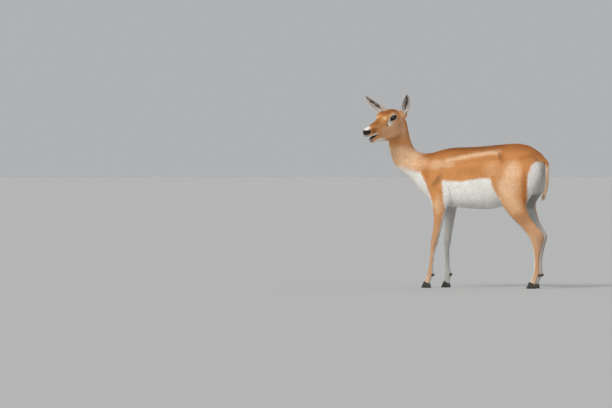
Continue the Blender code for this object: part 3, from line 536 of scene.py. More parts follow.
faceSpots = [  # tone, centre, radii, share
    ("white", (0.1060, 0.036, 0.0205), (0.0095, 0.015, 0.0180), 1.0),
    ("pale", (0.0900, 0.042, 0.0150), (0.0200, 0.015, 0.0100), 0.95),
    ("dark", (0.1185, 0.033, 0.0130), (0.0045, 0.012, 0.0120), 0.70),
    ("white", (0.2360, 0.000, 0.0165), (0.0260, 0.026, 0.0100), 0.95),
    ("white", (0.2500, 0.000, -0.0030), (0.0140, 0.026, 0.0170), 0.80),
    ("white", (0.2050, 0.012, -0.0240), (0.0420, 0.014, 0.0075), 0.80),
    ("grey", (0.2350, 0.006, -0.0230), (0.0200, 0.018, 0.0095), 0.45),
    ("white", (0.1620, 0.010, -0.0620), (0.0440, 0.022, 0.0165), 0.85),
    ("grey", (0.2100, 0.006, -0.0520), (0.0160, 0.014, 0.0180), 0.55),
    ("dark", (0.2180, 0.006, -0.0470), (0.0150, 0.014, 0.0120), 0.55),
    ("rich", (0.1960, 0.019, 0.0000), (0.0240, 0.014, 0.0150), 0.65),
    ("dark", (0.2000, 0.018, -0.0010), (0.0150, 0.012, 0.0130), 0.32),
    ("pale", (0.1740, 0.018, -0.0120), (0.0120, 0.010, 0.0080), 0.30),
    ("rich", (0.0700, 0.000, 0.0700), (0.0620, 0.038, 0.0240), 0.90),
    ("dark", (0.0980, 0.020, 0.0620), (0.0200, 0.014, 0.0080), 0.22),
    ("rich", (0.1650, 0.000, 0.0300), (0.0560, 0.016, 0.0200), 0.70),
    ("dark", (0.1650, 0.009, 0.0240), (0.0500, 0.012, 0.0110), 0.22),
    ("pale", (0.1220, 0.022, 0.0430), (0.0090, 0.010, 0.0080), 0.85),
    ("dark", (0.0380, 0.040, -0.0040), (0.0150, 0.020, 0.0150), 0.30),
    ("pale", (0.0950, 0.036, -0.0260), (0.0820, 0.026, 0.0400), 0.58),
    ("pale", (0.0350, 0.045, -0.0300), (0.0520, 0.032, 0.0560), 0.50),
    ("pale", (0.1150, 0.024, -0.0620), (0.0750, 0.026, 0.0220), 0.36),
    # painted shade on the lower cheek and along the jaw's lower edge, where the face turns under
    ("dark", (0.0600, 0.030, -0.0620), (0.0520, 0.030, 0.0180), 0.16),
    ("dark", (0.0700, 0.026, -0.0700), (0.0500, 0.022, 0.0120), 0.28),
    ("pale", (0.0250, 0.050, 0.0250), (0.0200, 0.020, 0.0240), 0.60),
]
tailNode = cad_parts["tail"].data
tailTree = BVHTree.FromPolygons([v.co for v in tailNode.vertices], [p.vertices for p in tailNode.polygons])
tailLow, tailHigh = (np.array(corner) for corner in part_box("tail"))
legEdges = {}  # for each leg: heights, and where its white edge starts


def alongLine(rows, value):
    rows = np.array(rows)
    return np.interp(value, rows[:, 0], rows[:, 1])


def placeMeasures(points):  # what the zones are bounded by, from the place alone
    x, y, z = (points - shift).T
    hx, hy, hz = toHead(points).T
    measures = {"x": x, "y": y, "z": z, "headX": hx, "headY": abs(hy), "headZ": hz}
    measures["overBand"] = z - alongLine(edgeLines["highlightBand"], x)
    for name, (middle, height, lean) in slants.items():
        measures[name] = (x - middle) - lean * (z - height)
    corner, top, bottom = (headPose[name] for name in ("mouthCorner", "mouthTop", "mouthBottom"))
    share = (hx - corner[0]) / (top[0] - corner[0])
    measures["overLip"] = hz - (corner[1] + share * (top[1] - corner[1]))
    measures["underLip"] = hz - (corner[1] + share * (bottom[1] - corner[1]))
    return measures


def surfaceMeasures(points, normals):  # and those that need the way the surface faces
    measures = placeMeasures(points)
    x, y, z = measures["x"], measures["y"], measures["z"]
    nx, ny, nz = normals.T
    outward = ny * np.sign(y)
    ragged = 0.006 * np.sin(y * 70 + 1.1) + 0.004 * np.sin(y * 163) + 0.5 * abs(y + 0.02) - 0.012
    slope, reach = markShapes["rumpTopDip"]
    measures.update({
        "up": nz,
        "rearward": nx,
        "sideways": abs(ny),
        "outward": outward,
        "nape": nx + 0.4 * nz,
        "throat": nx + 0.5 * nz,
        "toRight": nx * toRight[0] + ny * toRight[1],
        "foreInside": outward - 0.34 * np.maximum(nx, 0),
        "hindInside": outward - 1.15 * np.maximum(-nx, 0) + 0.35 * np.maximum(nx, 0),
        "overBelly": z - alongLine(edgeLines["bellyTop"], x),
        "overChest": z + ragged * ramp(0.6, 0.95, -nx) - alongLine(edgeLines["chestTop"], x),
        "overRump": z - (markShapes["rumpTop"] - slope * np.maximum(reach - abs(y), 0)),
        "behindElbow": x - alongLine(edgeLines["elbowBack"], z),
        "behindFlank": x - alongLine(edgeLines["flankBack"], z),
        "behindChest": x - alongLine(edgeLines["chestBack"], z),
        "behindRump": x - alongLine(edgeLines["rumpFront"], z),
    })
    return measures


def zone(name, measures):
    share = 1.0
    for measure, empty, full in zones[name]:
        share = share * ramp(empty, full, measures[measure])
    return share


def cover(marks, tone, share):
    marks[tone] = np.maximum(marks[tone], share)


def findLegEdges(points):
    x, y, z = (points - shift).T
    lowest, highest, spacing = markShapes["legLevels"]
    for side in (-1, 1):
        for kind, end in markShapes["legEnds"].items():
            found = []
            for level in np.arange(lowest, highest, spacing):
                here = (abs(z - level) < 0.005) & (y * side > 0)
                here &= (x < end) if kind == "fore" else (x > end)
                if here.any():
                    found.append((level, x[here].max() if kind == "fore" else x[here].min()))
            legEdges[kind, side] = found


def legEdge(kind, measures):  # the pale line down the back of a foreleg and the front of a hind leg
    x, y, z = measures["x"], measures["y"], measures["z"]
    least, more = markShapes["legEdgeWidths"][kind]
    width = least + more * ramp(0.2, 0.4, z)
    white = np.zeros(len(x))
    for side in (-1, 1):
        if (kind, side) in legEdges:
            edge = alongLine(legEdges[kind, side], z)
            behind = edge - x if kind == "fore" else x - edge
            white = np.maximum(white, ramp(width + 0.002, width - 0.002, behind) * (y * side > 0))
    return white


def tailShare(points):  # 1 on the tail, 0 on the rump beside it
    share = np.zeros(len(points))
    reach, (full, fade) = markShapes["tailReach"], markShapes["tailBlend"]
    near = np.all((points > tailLow - reach) & (points < tailHigh + reach), axis=1)
    for index in np.nonzero(near)[0]:
        spot, facing, _, away = tailTree.find_nearest(points[index])
        inside = (Vector(points[index]) - spot).dot(facing) < 0
        share[index] = 1 if inside else 1 - min(max((away - full) / fade, 0.0), 1.0)
    return share


def mirrored(values, side):  # a place or way of the head, on her left (1) or right (-1)
    return np.array(values, float) * (1, side, 1)


def eyeFrame(side):
    axis = unit(mirrored(headPose["eyeAxis"], side))
    along = np.array(headPose["eyeAlong"], float)
    along = unit(along - axis * along.dot(axis))
    return mirrored(headPose["eye"], side), axis, along, np.cross(axis, along)


def eyeOval(head, side):
    # 1 on the dark rim between the lids, less inside it; and the height over the eye's middle
    centre, axis, along, across = eyeFrame(side)
    offset = head - centre
    a = offset @ along / headPose["opening"][0]
    drop = headPose["cornerDrop"] * np.clip(a, 0, 1.2) ** 2
    b = (offset @ across * (1 if across[2] > 0 else -1) + drop) / headPose["opening"][1]
    power = headPose["ovalPower"]
    return (abs(a) ** power + abs(b) ** power) ** (1 / power), offset @ axis


def bodyMarks(measures, onBody, marks):
    x, y, z = measures["x"], measures["y"], measures["z"]
    for tone, share, name in bodyTones:
        cover(marks, tone, share * zone(name, measures) * onBody)
    for tone, cx, cz, rx, rz, share, slant in bodySpots:
        away = np.sqrt((((x - cx) - slant * (z - cz)) / rx) ** 2 + ((z - cz) / rz) ** 2)
        spot = ramp(*markShapes["spotEdge"], away) * share * ramp(-0.2, 0.2, measures["sideways"])
        cover(marks, tone, spot * onBody)
    # painted highlight: a pale band along the edge of the back, where it catches the light; a low ridge in
    # the skin runs under it
    highlightBand = np.exp(-(((measures["overBand"] - markShapes["highlightMiddle"]) / markShapes["highlightWidth"]) ** 2))
    cover(marks, "pale", 0.85 * highlightBand * zone("highlightBand", measures))
    smear = 0.5 + 0.5 * np.sin(x * 95 + 3 * np.sin(x * 31)) * np.sin(x * 41 + abs(y) * 60)
    cover(marks, "dark", zone("saddle", measures) * (0.22 + 0.40 * smear) * onBody)
    for kind in ("fore", "hind"):
        inner, leg = zone(kind + "Inner", measures), zone(kind + "Leg", measures)
        cover(marks, "white", leg * legEdge(kind, measures) * onBody)
        # painted shade: grey over the white inner sides of the upper legs
        cover(marks, "grey", 0.62 * inner * zone("innerShade", measures) * onBody)
    # painted shade: grey over the white rump, deeper towards its lower rear
    cover(marks, "grey", zone("rump", measures) * (0.22 + 0.30 * zone("rumpShade", measures)))
    # painted shade in the fold behind the elbow
    foldShade = np.exp(-((measures["elbowFold"] / markShapes["elbowFoldWidth"]) ** 2))
    cover(marks, "grey", 0.55 * foldShade * zone("elbowFold", measures) * onBody)
    # painted shadow: a dark stripe on each side of the tail root, where the tail meets the buttocks
    (shadowY, shadowZ), (shadowWide, shadowHigh) = markShapes["tailShadow"], markShapes["tailShadowSize"]
    away = np.sqrt(((abs(y) - shadowY) / shadowWide) ** 2 + ((z - shadowZ) / shadowHigh) ** 2)
    cover(marks, "black", 0.80 * ramp(1.4, 0.4, away) * zone("tailShadow", measures))


def tailMarks(points, measures, marks):  # tan down its outer side, white beneath
    onTail = tailShare(points)
    tailTones = {
        "white": np.maximum(0.95 * zone("tailBeneath", measures), 0.75 * zone("tailEdge", measures)),
        "rich": 0.45 * zone("tailRoot", measures),
        "pale": zone("tailBelowRoot", measures),
        "dark": 0.0,
        "grey": 0.02,
        "black": 0.0,
    }
    for tone, share in tailTones.items():
        marks[tone] = marks[tone] + onTail * (share - marks[tone])


def faceMarks(head, measures, onHead, marks):
    hx, hy, hz = measures["headX"], measures["headY"], measures["headZ"]
    folded = np.stack([hx, hy, hz], 1)  # both sides of the face on her left
    for tone, centre, radii, share in faceSpots:
        away = np.linalg.norm((folded - np.array(centre)) / np.array(radii), axis=1)
        cover(marks, tone, ramp(*markShapes["faceSpotEdge"], away) * share * ramp(0.0, 0.3, onHead))
    for side in (1, -1):
        roundness, outer = eyeOval(head, side)
        outer = ramp(*markShapes["overEye"], outer)
        start, full, fade, end = markShapes["eyeRing"]
        ring = ramp(start, full, roundness) * ramp(end, fade, roundness) * outer
        for tone, share in markShapes["eyeRingTones"]:
            cover(marks, tone, ring * share)
        cover(marks, "black", ramp(*markShapes["lidRim"], roundness) * outer)
    (padX, padZ), (padLong, padHigh) = markShapes["pad"], markShapes["padSize"]
    leaning = hz - padZ + markShapes["padLean"] * (hx - padX)
    padWay = np.sqrt(((hx - padX) / padLong) ** 4 + (leaning / padHigh) ** 4)
    cover(marks, "black", ramp(1.12, 0.90, padWay) * zone("padFront", measures))
    nostril = np.linalg.norm(folded - np.array(headPose["nostril"]), axis=1)
    cover(marks, "black", ramp(*markShapes["nostrilReach"], nostril))
    for name in ("groove", "mouth"):
        cover(marks, "black", zone(name, measures))


def coatMarks(points, normals):  # the share of each tone at these places of the skin
    measures = surfaceMeasures(points, normals)
    marks = {tone: np.zeros(len(points)) for tone in ("white", "rich", "pale", "dark", "grey", "black")}
    onHead = zone("head", measures)
    bodyMarks(measures, 1 - onHead, marks)
    tailMarks(points, measures, marks)
    faceMarks(toHead(points), measures, onHead, marks)
    for tone in ("rich", "pale", "dark"):
        marks[tone] = np.clip(marks[tone], 0, 1)
    return marks


def paint(mesh, marks, chance=0.5, tip=0.5):
    # colour attributes, one value to each vertex
    layers = {
        "marksA": (marks["white"], marks["rich"], marks["pale"]),
        "marksB": (marks["dark"], marks["grey"], marks["black"]),
        "hair": (chance, tip, 0.5),
    }
    for name, parts in layers.items():
        attribute = mesh.color_attributes.new(name, "FLOAT_COLOR", "POINT")
        values = np.ones((len(mesh.vertices), 4), np.float32)
        for column, part in enumerate(parts):
            values[:, column] = part
        attribute.data.foreach_set("color", values.ravel())


def applyModifiers(item):
    bpy.context.view_layer.update()
    mesh = bpy.data.meshes.new_from_object(item.evaluated_get(bpy.context.evaluated_depsgraph_get()))
    item.modifiers.clear()
    item.data = mesh


def meshArrays(mesh):
    mesh.calc_loop_triangles()
    points = np.empty(len(mesh.vertices) * 3)
    mesh.vertices.foreach_get("co", points)
    normals = np.empty(len(mesh.vertices) * 3)
    mesh.vertices.foreach_get("normal", normals)
    triangles = np.empty(len(mesh.loop_triangles) * 3, int)
    mesh.loop_triangles.foreach_get("vertices", triangles)
    return points.reshape(-1, 3), normals.reshape(-1, 3), triangles.reshape(-1, 3)


def copyOfNodes(name, nodeNames, swell):
    # one mesh of these nodes, swollen so that the thin cuts between them close
    shape = bmesh.new()
    for node in nodeNames:
        shape.from_mesh(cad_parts[node].data)
    bmesh.ops.remove_doubles(shape, verts=shape.verts, dist=1e-5)
    bmesh.ops.recalc_face_normals(shape, faces=shape.faces)
    shape.normal_update()
    for vertex in shape.verts:
        vertex.co += vertex.normal * swell
    mesh = bpy.data.meshes.new(name)
    shape.to_mesh(mesh)
    shape.free()
    return addObject(name, mesh)


def largestPart(item):
    # keeps the biggest closed surface and drops what the remesh left inside
    shape = bmesh.new()
    shape.from_mesh(item.data)
    shape.verts.ensure_lookup_table()
    seen = np.zeros(len(shape.verts), bool)
    best = []
    for start in shape.verts:
        if seen[start.index]:
            continue
        seen[start.index] = True
        found, queue = [start], [start]
        while queue:
            for edge in queue.pop().link_edges:
                for other in edge.verts:
                    if not seen[other.index]:
                        seen[other.index] = True
                        found.append(other)
                        queue.append(other)
        if len(found) > len(best):
            best = found
    keep = set(best)
    bmesh.ops.delete(shape, geom=[v for v in shape.verts if v not in keep], context="VERTS")
    shape.to_mesh(item.data)
    shape.free()


def facesOutward(item, mergeWithin=0.0):
    shape = bmesh.new()
    shape.from_mesh(item.data)
    if mergeWithin:
        bmesh.ops.remove_doubles(shape, verts=shape.verts, dist=mergeWithin)
    bmesh.ops.recalc_face_normals(shape, faces=shape.faces)
    shape.to_mesh(item.data)
    shape.free()


def remeshed(item, voxel):
    remesh = item.modifiers.new("one surface", "REMESH")
    remesh.mode = "VOXEL"
    remesh.voxel_size = voxel


def dressed(item, material):  # smooth, with this material alone
    item.data.shade_smooth()
    item.data.materials.clear()
    item.data.materials.append(material)


# Skin: one surface through torso, neck, head and legs
skinSettings = {
    "voxel": 0.0023,
    "quickCoarser": 1.6,
    "thinShare": 0.40,
    "swell": 0.0005,
    "rounds": 70,
    "softLevels": 40,
    "bodyDepth": 0.0016,  # how far the skin lies inside the solids
    "limbDepth": 0.0004,
    "faceDepth": 0.0003,
    "eyeSoftness": (0.016, 0.034),  # reach of the unsmoothed skin round an eye
    "tearPit": (0.1165, 0.033, 0.016),
    "tearPitSize": (0.006, 0.012, 0.009),
    "tearPitDepth": 0.0016,
    "sinew": ((0.262, 0.345), (0.316, 0.276)),  # x and height of its ends, above the hock
    "sinewWidth": 0.0045,
    "sinewDepth": 0.0024,
    "ribSpacing": 0.026,
    "ribHeight": 0.0003,
    "lids": ((1.22, 0.0010), (1.62, -0.0011)),  # distance from the eye, and height: lid, and fold round it
    "lidWidth": 0.14,
}
skinLines = [  # height, half width, the measure that is 0 along it, how far below that, zone
    (0.0020, 0.010, "overBand", 0.0, "bandRidge"),
    (-0.0016, 0.014, "overBand", 0.022, "bandRidge"),
    (-0.0022, 0.005, "flankFold", 0.0, "flankFold"),
    (-0.0016, 0.012, "shoulder", 0.0, "shoulder"),
    (-0.0020, 0.0045, "elbowFold", 0.0, "elbowFold"),
]
fleshNodes = ["torso", "neck", "head", "tail"]
for kind in ("fore_upper", "fore_lower", "hind_upper", "hind_lower"):
    fleshNodes += [kind + "_left", kind + "_right"]


def softShare(points):
    # how much the remeshed skin is smoothed: most on the trunk, least round eyes and mouth
    measures = placeMeasures(points)
    onHead = zone("wholeHead", measures)
    share = 1 - zone("smoothLegs", measures) * 0.86
    share = share * (1 - onHead * 0.84)
    share = share * (1 - tailShare(points) * 0.85 * zone("smoothTail", measures))
    nearEye = np.ones(len(points))
    for side in (1, -1):
        centre, axis, _, _ = eyeFrame(side)
        away = np.linalg.norm(toHead(points) - centre - axis * 0.012, axis=1)
        nearEye *= ramp(*skinSettings["eyeSoftness"], away)
    fine = nearEye * (1 - zone("muzzle", measures) * onHead * 0.75)
    return share * (0.25 + 0.75 * fine)


def nostrilPits(head):
    pits = np.zeros(len(head))
    for side in (1, -1):
        axis = unit(mirrored(headPose["nostrilAxis"], side))
        along = mirrored(headPose["nostrilAlong"], side)
        along = unit(along - axis * along.dot(axis))
        offset = head - mirrored(headPose["nostril"], side)
        a = offset @ along / headPose["nostrilRadii"][0]
        b = offset @ np.cross(axis, along) / headPose["nostrilRadii"][1]
        pits += ramp(1.35, 0.45, np.hypot(a, b)) * ramp(0.014, 0.010, abs(offset @ axis))
    return pits


def relief(points, normals):
    # small forms under the skin: the back's edge, folds, the shoulder, sinews, lids, nostrils
    measures = placeMeasures(points)
    x, z = measures["x"], measures["z"]
    lateral = ramp(0.2, 0.6, abs(normals[:, 1]))
    height = np.zeros(len(points))
    for rise, width, line, below, name in skinLines:
        height += rise * np.exp(-(((measures[line] + below) / width) ** 2)) * zone(name, measures) * lateral
    ribs = np.sin((x + 0.25 * z) * 2 * math.pi / skinSettings["ribSpacing"])
    height += skinSettings["ribHeight"] * ribs * zone("ribs", measures) * lateral
    start, end = np.array(skinSettings["sinew"])
    length, along = np.linalg.norm(end - start), unit(end - start)
    offset = np.stack([x, z], 1) - start
    run, away = offset @ along, offset @ np.array((-along[1], along[0]))
    sinew = np.exp(-((away / skinSettings["sinewWidth"]) ** 2))
    sinew = sinew * ramp(-0.01, 0.012, run) * ramp(length, length - 0.015, run)
    height -= skinSettings["sinewDepth"] * sinew * lateral
    head = toHead(points)
    folded = np.stack([measures["headX"], measures["headY"], measures["headZ"]], 1)
    tearPit = (folded - np.array(skinSettings["tearPit"])) / np.array(skinSettings["tearPitSize"])
    height -= skinSettings["tearPitDepth"] * np.exp(-(tearPit**2).sum(1)) * zone("face", measures)
    height -= headPose["nostrilDepth"] * nostrilPits(head)
    for side in (1, -1):
        roundness, outer = eyeOval(head, side)
        outer = ramp(*markShapes["overEye"], outer)
        for middle, rise in skinSettings["lids"]:
            height += rise * np.exp(-(((roundness - middle) / skinSettings["lidWidth"]) ** 2)) * outer
    return height


def buildSkin():
    item = copyOfNodes("skin", fleshNodes, skinSettings["swell"])
    remeshed(item, skinSettings["voxel"] * (1.0))
    applyModifiers(item)
    largestPart(item)
    group = item.vertex_groups.new(name="soft")
    levels = np.round(softShare(meshArrays(item.data)[0]) * skinSettings["softLevels"]).astype(int)
    for level in np.unique(levels):
        members = np.nonzero(levels == level)[0].tolist()
        group.add(members, float(level) / skinSettings["softLevels"], "REPLACE")
    smooth = item.modifiers.new("soften", "SMOOTH")
    smooth.factor, smooth.iterations = 0.5, skinSettings["rounds"]
    smooth.vertex_group = "soft"
    applyModifiers(item)
    item.vertex_groups.clear()
    points, normals, _ = meshArrays(item.data)
    z = points[:, 2]
    onHead = ramp(-0.04, 0.0, toHead(points)[:, 0]) * ramp(0.68, 0.72, z)
    depth = skinSettings["bodyDepth"] + skinSettings["swell"]
    depth = depth + (skinSettings["limbDepth"] - skinSettings["bodyDepth"]) * ramp(0.42, 0.34, z)
    depth = depth + (skinSettings["faceDepth"] - skinSettings["bodyDepth"]) * onHead
    points = points + normals * (relief(points, normals) - depth)[:, None]
    item.data.vertices.foreach_set("co", points.ravel())
    item.data.update()
    group = item.vertex_groups.new(name="plain")  # legs and head stay fine
    group.add(np.nonzero((z > 0.37) & (onHead < 0.05))[0].tolist(), 1.0, "REPLACE")
    thin = item.modifiers.new("thin out", "DECIMATE")
    thin.ratio, thin.vertex_group = skinSettings["thinShare"], "plain"
    applyModifiers(item)
    item.vertex_groups.clear()
    dressed(item, skinMaterial)
    return item


skin = buildSkin()
skinSurface = meshArrays(skin.data)
findLegEdges(skinSurface[0])
paint(skin.data, coatMarks(*skinSurface[:2]))
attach(skin, "root")
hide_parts(*fleshNodes)
print("skin:", len(skinSurface[2]), "triangles")


def nearest(tree, points):  # the closest places on a surface and the way it faces there
    places = np.empty((len(points), 3))
    facings = np.empty((len(points), 3))
    for index, point in enumerate(points):
        places[index], facings[index], _, _ = tree.find_nearest(point)
    return places, facings


def treeOf(surface):
    return BVHTree.FromPolygons(surface[0].tolist(), surface[2].tolist())


skinTree = treeOf(skinSurface)

# Ears: thin cups with their roots sunk in the head
earSettings = {
    "voxel": 0.0009,
    "rounds": 4,
    "thinShare": 0.35,
    "start": 0.018,
    "length": 0.147,
    "radius": 0.0205,
    "flatness": 0.88,
    "lean": (0.55, 0.006),  # how far the cup's middle moves from the root's line
    "backBow": 0.007,
    # share of the length, and half the angle that the cup closes round
    "openings": (
        (0.0, 172), (0.08, 168), (0.17, 128), (0.28, 100), (0.42, 84),
        (0.57, 68), (0.72, 52), (0.86, 34), (1, 6),
    ),
    # share of the length, and the cup's radius there
    "radii": (
        (0.0, 0.66), (0.08, 0.72), (0.17, 0.86), (0.28, 0.98),
        (0.57, 0.98), (0.72, 0.90), (0.86, 0.78), (1.0, 0.60),
    ),
    # the solid root: reach along the ear, and radius
    "plug": ((-0.004, 0.0105), (0.006, 0.0125), (0.018, 0.0132), (0.0235, 0.0126), (0.0285, 0.0080)),
    "plugSides": 24,
    "left": {
        "side": 1,
        "root": (0.005, 0.040, 0.034),
        "direction": (0.26, 0.48, 0.83),
        "facing": (0.90, 0.36, 0.10),
        "sideBow": -0.001,
        "streakAt": -13,  # degrees from the middle of the cup
        "streakBreaks": 0.15,
    },
    "right": {
        "side": -1,
        "root": (0.016, -0.050, 0.033),
        "direction": (0.41, -0.61, 0.68),
        "facing": (0.87, 0.49, -0.08),
        "sideBow": 0.012,
        "streakAt": 0,
        "streakBreaks": 0.56,
    },
}


def earAxes(sideName):  # out of the cup, across it and along the ear, in the head's frame
    ear = earSettings[sideName]
    along = unit(ear["direction"])
    out = np.array(ear["facing"])
    out = unit(out - along * along.dot(out))
    return np.stack([out, np.cross(along, out), along])


def earPlace(points, normals, sideName):
    # share of the length, angle round the cup from its back, inside or out, nearness of the rim
    ear = earSettings[sideName]
    axes = earAxes(sideName)
    inEar = (toHead(points) - np.array(ear["root"])) @ axes.T
    facing = (normals @ headRows) @ axes.T
    cupLength = earSettings["length"] - earSettings["start"]
    share = (inEar[:, 2] - earSettings["start"]) / cupLength
    t = np.clip(share, 0, 1)
    bow = np.sin(math.pi * t)
    radius = earSettings["radius"] * alongLine(earSettings["radii"], t)
    lean, tipLean = earSettings["lean"]
    middle = lean * radius * t + tipLean * t * t - earSettings["backBow"] * bow
    fromMiddle = inEar[:, :2] - np.stack([middle, ear["side"] * ear["sideBow"] * bow], 1)
    angle = np.degrees(np.arctan2(fromMiddle[:, 1], -fromMiddle[:, 0] / earSettings["flatness"]))
    inward = -(unit(fromMiddle) * facing[:, :2]).sum(1)
    inward = np.maximum(inward, facing[:, 2] * ramp(0.25, 0.18, share))  # the floor of the cup
    rimGap = (alongLine(earSettings["openings"], t) - abs(angle)) * math.pi / 180 * radius
    rimGap = np.minimum(rimGap, (1 - share) * cupLength)
    return share, angle, inward, rimGap


def earMarks(points, normals, sideName):
    ear = earSettings[sideName]
    share, angle, inward, rimGap = earPlace(points, normals, sideName)
    inside = ramp(-0.1, 0.35, inward) * ramp(0.0, 0.05, share)
    outer = 1 - inside
    rim = ramp(0.0062, 0.0020, rimGap) * ramp(0.12, 0.2, share)
    wander = 6 * np.sin(share * 9) + 5 * np.sin(share * 31 + 1) - ear["streakAt"]
    width = 9 + 7 * ramp(0.15, 0.35, share) * ramp(0.95, 0.6, share)
    core = ramp(width + 9, width - 4, abs(angle + wander)) * ramp(0.06, 0.14, share) * ramp(0.99, 0.90, share)
    core = core * (1 - ear["streakBreaks"] * (0.5 - 0.5 * np.sin(share * 23 + angle * 0.05)))
    side = np.exp(-(((abs(angle) - 46) / 8) ** 2)) * ramp(0.2, 0.35, share) * ramp(0.75, 0.5, share)
    streak = np.clip(core + 0.35 * side, 0, 1)
    front = outer * ramp(112, 150, abs(angle)) * ramp(0.22, 0.14, share) * ramp(-0.02, 0.07, share)
    white = inside * (0.86 + rim * 0.14) * (1 - 0.5 * streak) + outer * rim * 0.75 + front * 0.6
    grey = inside * (0.50 - 0.30 * rim) + outer * (0.20 + 0.40 * ramp(0.2, 0.8, share)) + front * 0.3
    return {
        "white": np.clip(white, 0, 1),
        "rich": outer * ramp(0.25, 0.0, share) * 0.35 * (1 - front),
        "pale": outer * (0.25 + 0.35 * ramp(0.25, 0.05, share)),
        "dark": outer * ramp(0.80, 0.98, share) * 0.15,
        "grey": np.clip(grey, 0, 1),
        "black": np.maximum(inside * streak * (1 - rim) * 0.95, front * ramp(164, 174, abs(angle)) * 0.6),
    }


def ringFaces(levels, sides):  # the faces between closed rings of points
    faces = []
    for level in range(levels - 1):
        for i in range(sides):
            j = (i + 1) % sides
            low, high = level * sides, (level + 1) * sides
            faces.append((low + i, low + j, high + j, high + i))
    return faces


def buildEar(sideName):
    ear = earSettings[sideName]
    item = copyOfNodes("ear_skin_" + sideName, ["ear_" + sideName], -0.0001)
    axes, sides, levels = earAxes(sideName), earSettings["plugSides"], len(earSettings["plug"])
    rings = []
    for reach, radius in earSettings["plug"]:
        for angle in np.linspace(0, 2 * math.pi, sides + 1)[:-1]:
            offset = axes[0] * math.cos(angle) * earSettings["flatness"] + axes[1] * math.sin(angle)
            rings.append(np.array(ear["root"]) + axes[2] * reach + offset * radius)
    plug = bmesh.new()
    plug.from_mesh(item.data)
    made = [plug.verts.new(point) for point in fromHead(rings)]
    for face in ringFaces(levels, sides):
        plug.faces.new([made[i] for i in face])
    plug.faces.new(made[sides - 1::-1])
    plug.faces.new(made[-sides:])
    plug.to_mesh(item.data)
    plug.free()
    remeshed(item, earSettings["voxel"])
    smooth = item.modifiers.new("soften", "SMOOTH")
    smooth.factor, smooth.iterations = 0.5, earSettings["rounds"]
    item.modifiers.new("thin out", "DECIMATE").ratio = earSettings["thinShare"]
    applyModifiers(item)
    dressed(item, skinMaterial)
    surface = meshArrays(item.data)
    paint(item.data, earMarks(*surface[:2], sideName))
    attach(item, "root")
    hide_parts("ear_" + sideName)
    return surface


earSurfaces = {sideName: buildEar(sideName) for sideName in ("left", "right")}
print("ears:", sum(len(surface[2]) for surface in earSurfaces.values()), "triangles")

# Eyes: balls with a clear bulge, dark iris and wide pupil
eyeSettings = {
    "rows": 40,
    "columns": 64,
    "ball": 0.0183,
    "bulge": 0.0007,
    "bulgeReach": 0.62,  # radians from the axis
    "iris": linear(26, 15, 9),
    "irisEdge": linear(9, 6, 5),
    "irisEdgeReach": (0.50, 0.66),
    "fibreScale": 420.0,
    "fibres": 0.7,
    "pupil": linear(3, 3, 4),
    "pupilReach": (0.42, 0.27),
    "gloss": {
        "Roughness": 0.30,
        "Specular IOR Level": 0.10,
        "Coat Weight": 1.0,
        "Coat Roughness": 0.02,
        "Coat IOR": 1.40,
    },
}


def buildEyeMaterial():
    material, nodes, links = newMaterial("wet eye")
    shader = nodes["Principled BSDF"]
    pupil, rim, _ = paintedLayer(nodes, links, "iris")
    place = addNode(nodes, "ShaderNodeNewGeometry").outputs["Position"]
    fibres = noiseNode(nodes, links, place, eyeSettings["fibreScale"])
    edge = mathNode(nodes, links, "MULTIPLY", fibres, eyeSettings["fibres"])
    edge = mathNode(nodes, links, "MAXIMUM", edge, rim)
    colour = mixColour(nodes, links, edge, eyeSettings["iris"], eyeSettings["irisEdge"])
    colour = mixColour(nodes, links, pupil, colour, eyeSettings["pupil"])
    links.new(colour, shader.inputs["Base Color"])
    setSockets(shader, eyeSettings["gloss"])
    return material


eyeMaterial = buildEyeMaterial()


def buildEye(sideName, side):
    centre, axis, along, across = eyeFrame(side)
    points, faces, tones = [], [], []
    rows, columns = eyeSettings["rows"], eyeSettings["columns"]
    for i in range(rows + 1):
        polar = math.pi * i / rows
        reach = eyeSettings["ball"]
        reach += eyeSettings["bulge"] * math.exp(-((polar / eyeSettings["bulgeReach"]) ** 2))
        edge = float(ramp(*eyeSettings["irisEdgeReach"], polar))
        for j in range(columns):
            around = 2 * math.pi * j / columns
            a, b = math.sin(polar) * math.cos(around), math.sin(polar) * math.sin(around)
            points.append(centre + (axis * math.cos(polar) + along * a + across * b) * reach)
            oval = math.hypot(a / eyeSettings["pupilReach"][0], b / eyeSettings["pupilReach"][1])
            tones.append((float(ramp(1.12, 0.92, oval)), edge, 0, 1))
            if i < rows:
                k = (j + 1) % columns
                low, high = i * columns, (i + 1) * columns
                face = [low + j, high + j, high + k, low + k]
                faces.append(face if side > 0 else face[::-1])
    item = addMesh("eyeball_" + sideName, fromHead(points), faces, eyeMaterial)
    layer = item.data.color_attributes.new("iris", "FLOAT_COLOR", "POINT")
    layer.data.foreach_set("color", np.array(tones, np.float32).ravel())
    facesOutward(item, 1e-6)
    item.data.shade_smooth()
    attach(item, "root")
    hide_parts("eye_" + sideName)


lidSettings = {
    "columns": 96,
    # grown outwards past the dark rim, and risen over the eyeball
    "rings": ((-0.0022, 0.0000), (-0.0016, 0.0008), (-0.0007, 0.0014), (0.0004, 0.0018), (0.0020, 0.0021)),
    "overBall": 0.0002,
    "meetSkin": 0.0062,
    "sink": 0.0010,  # the outer edge, into the skin
    "levelFrom": 0.42,  # past the ball's flank the lid leaves it and runs on level
    "tuck": (0.001, -0.0030),
}


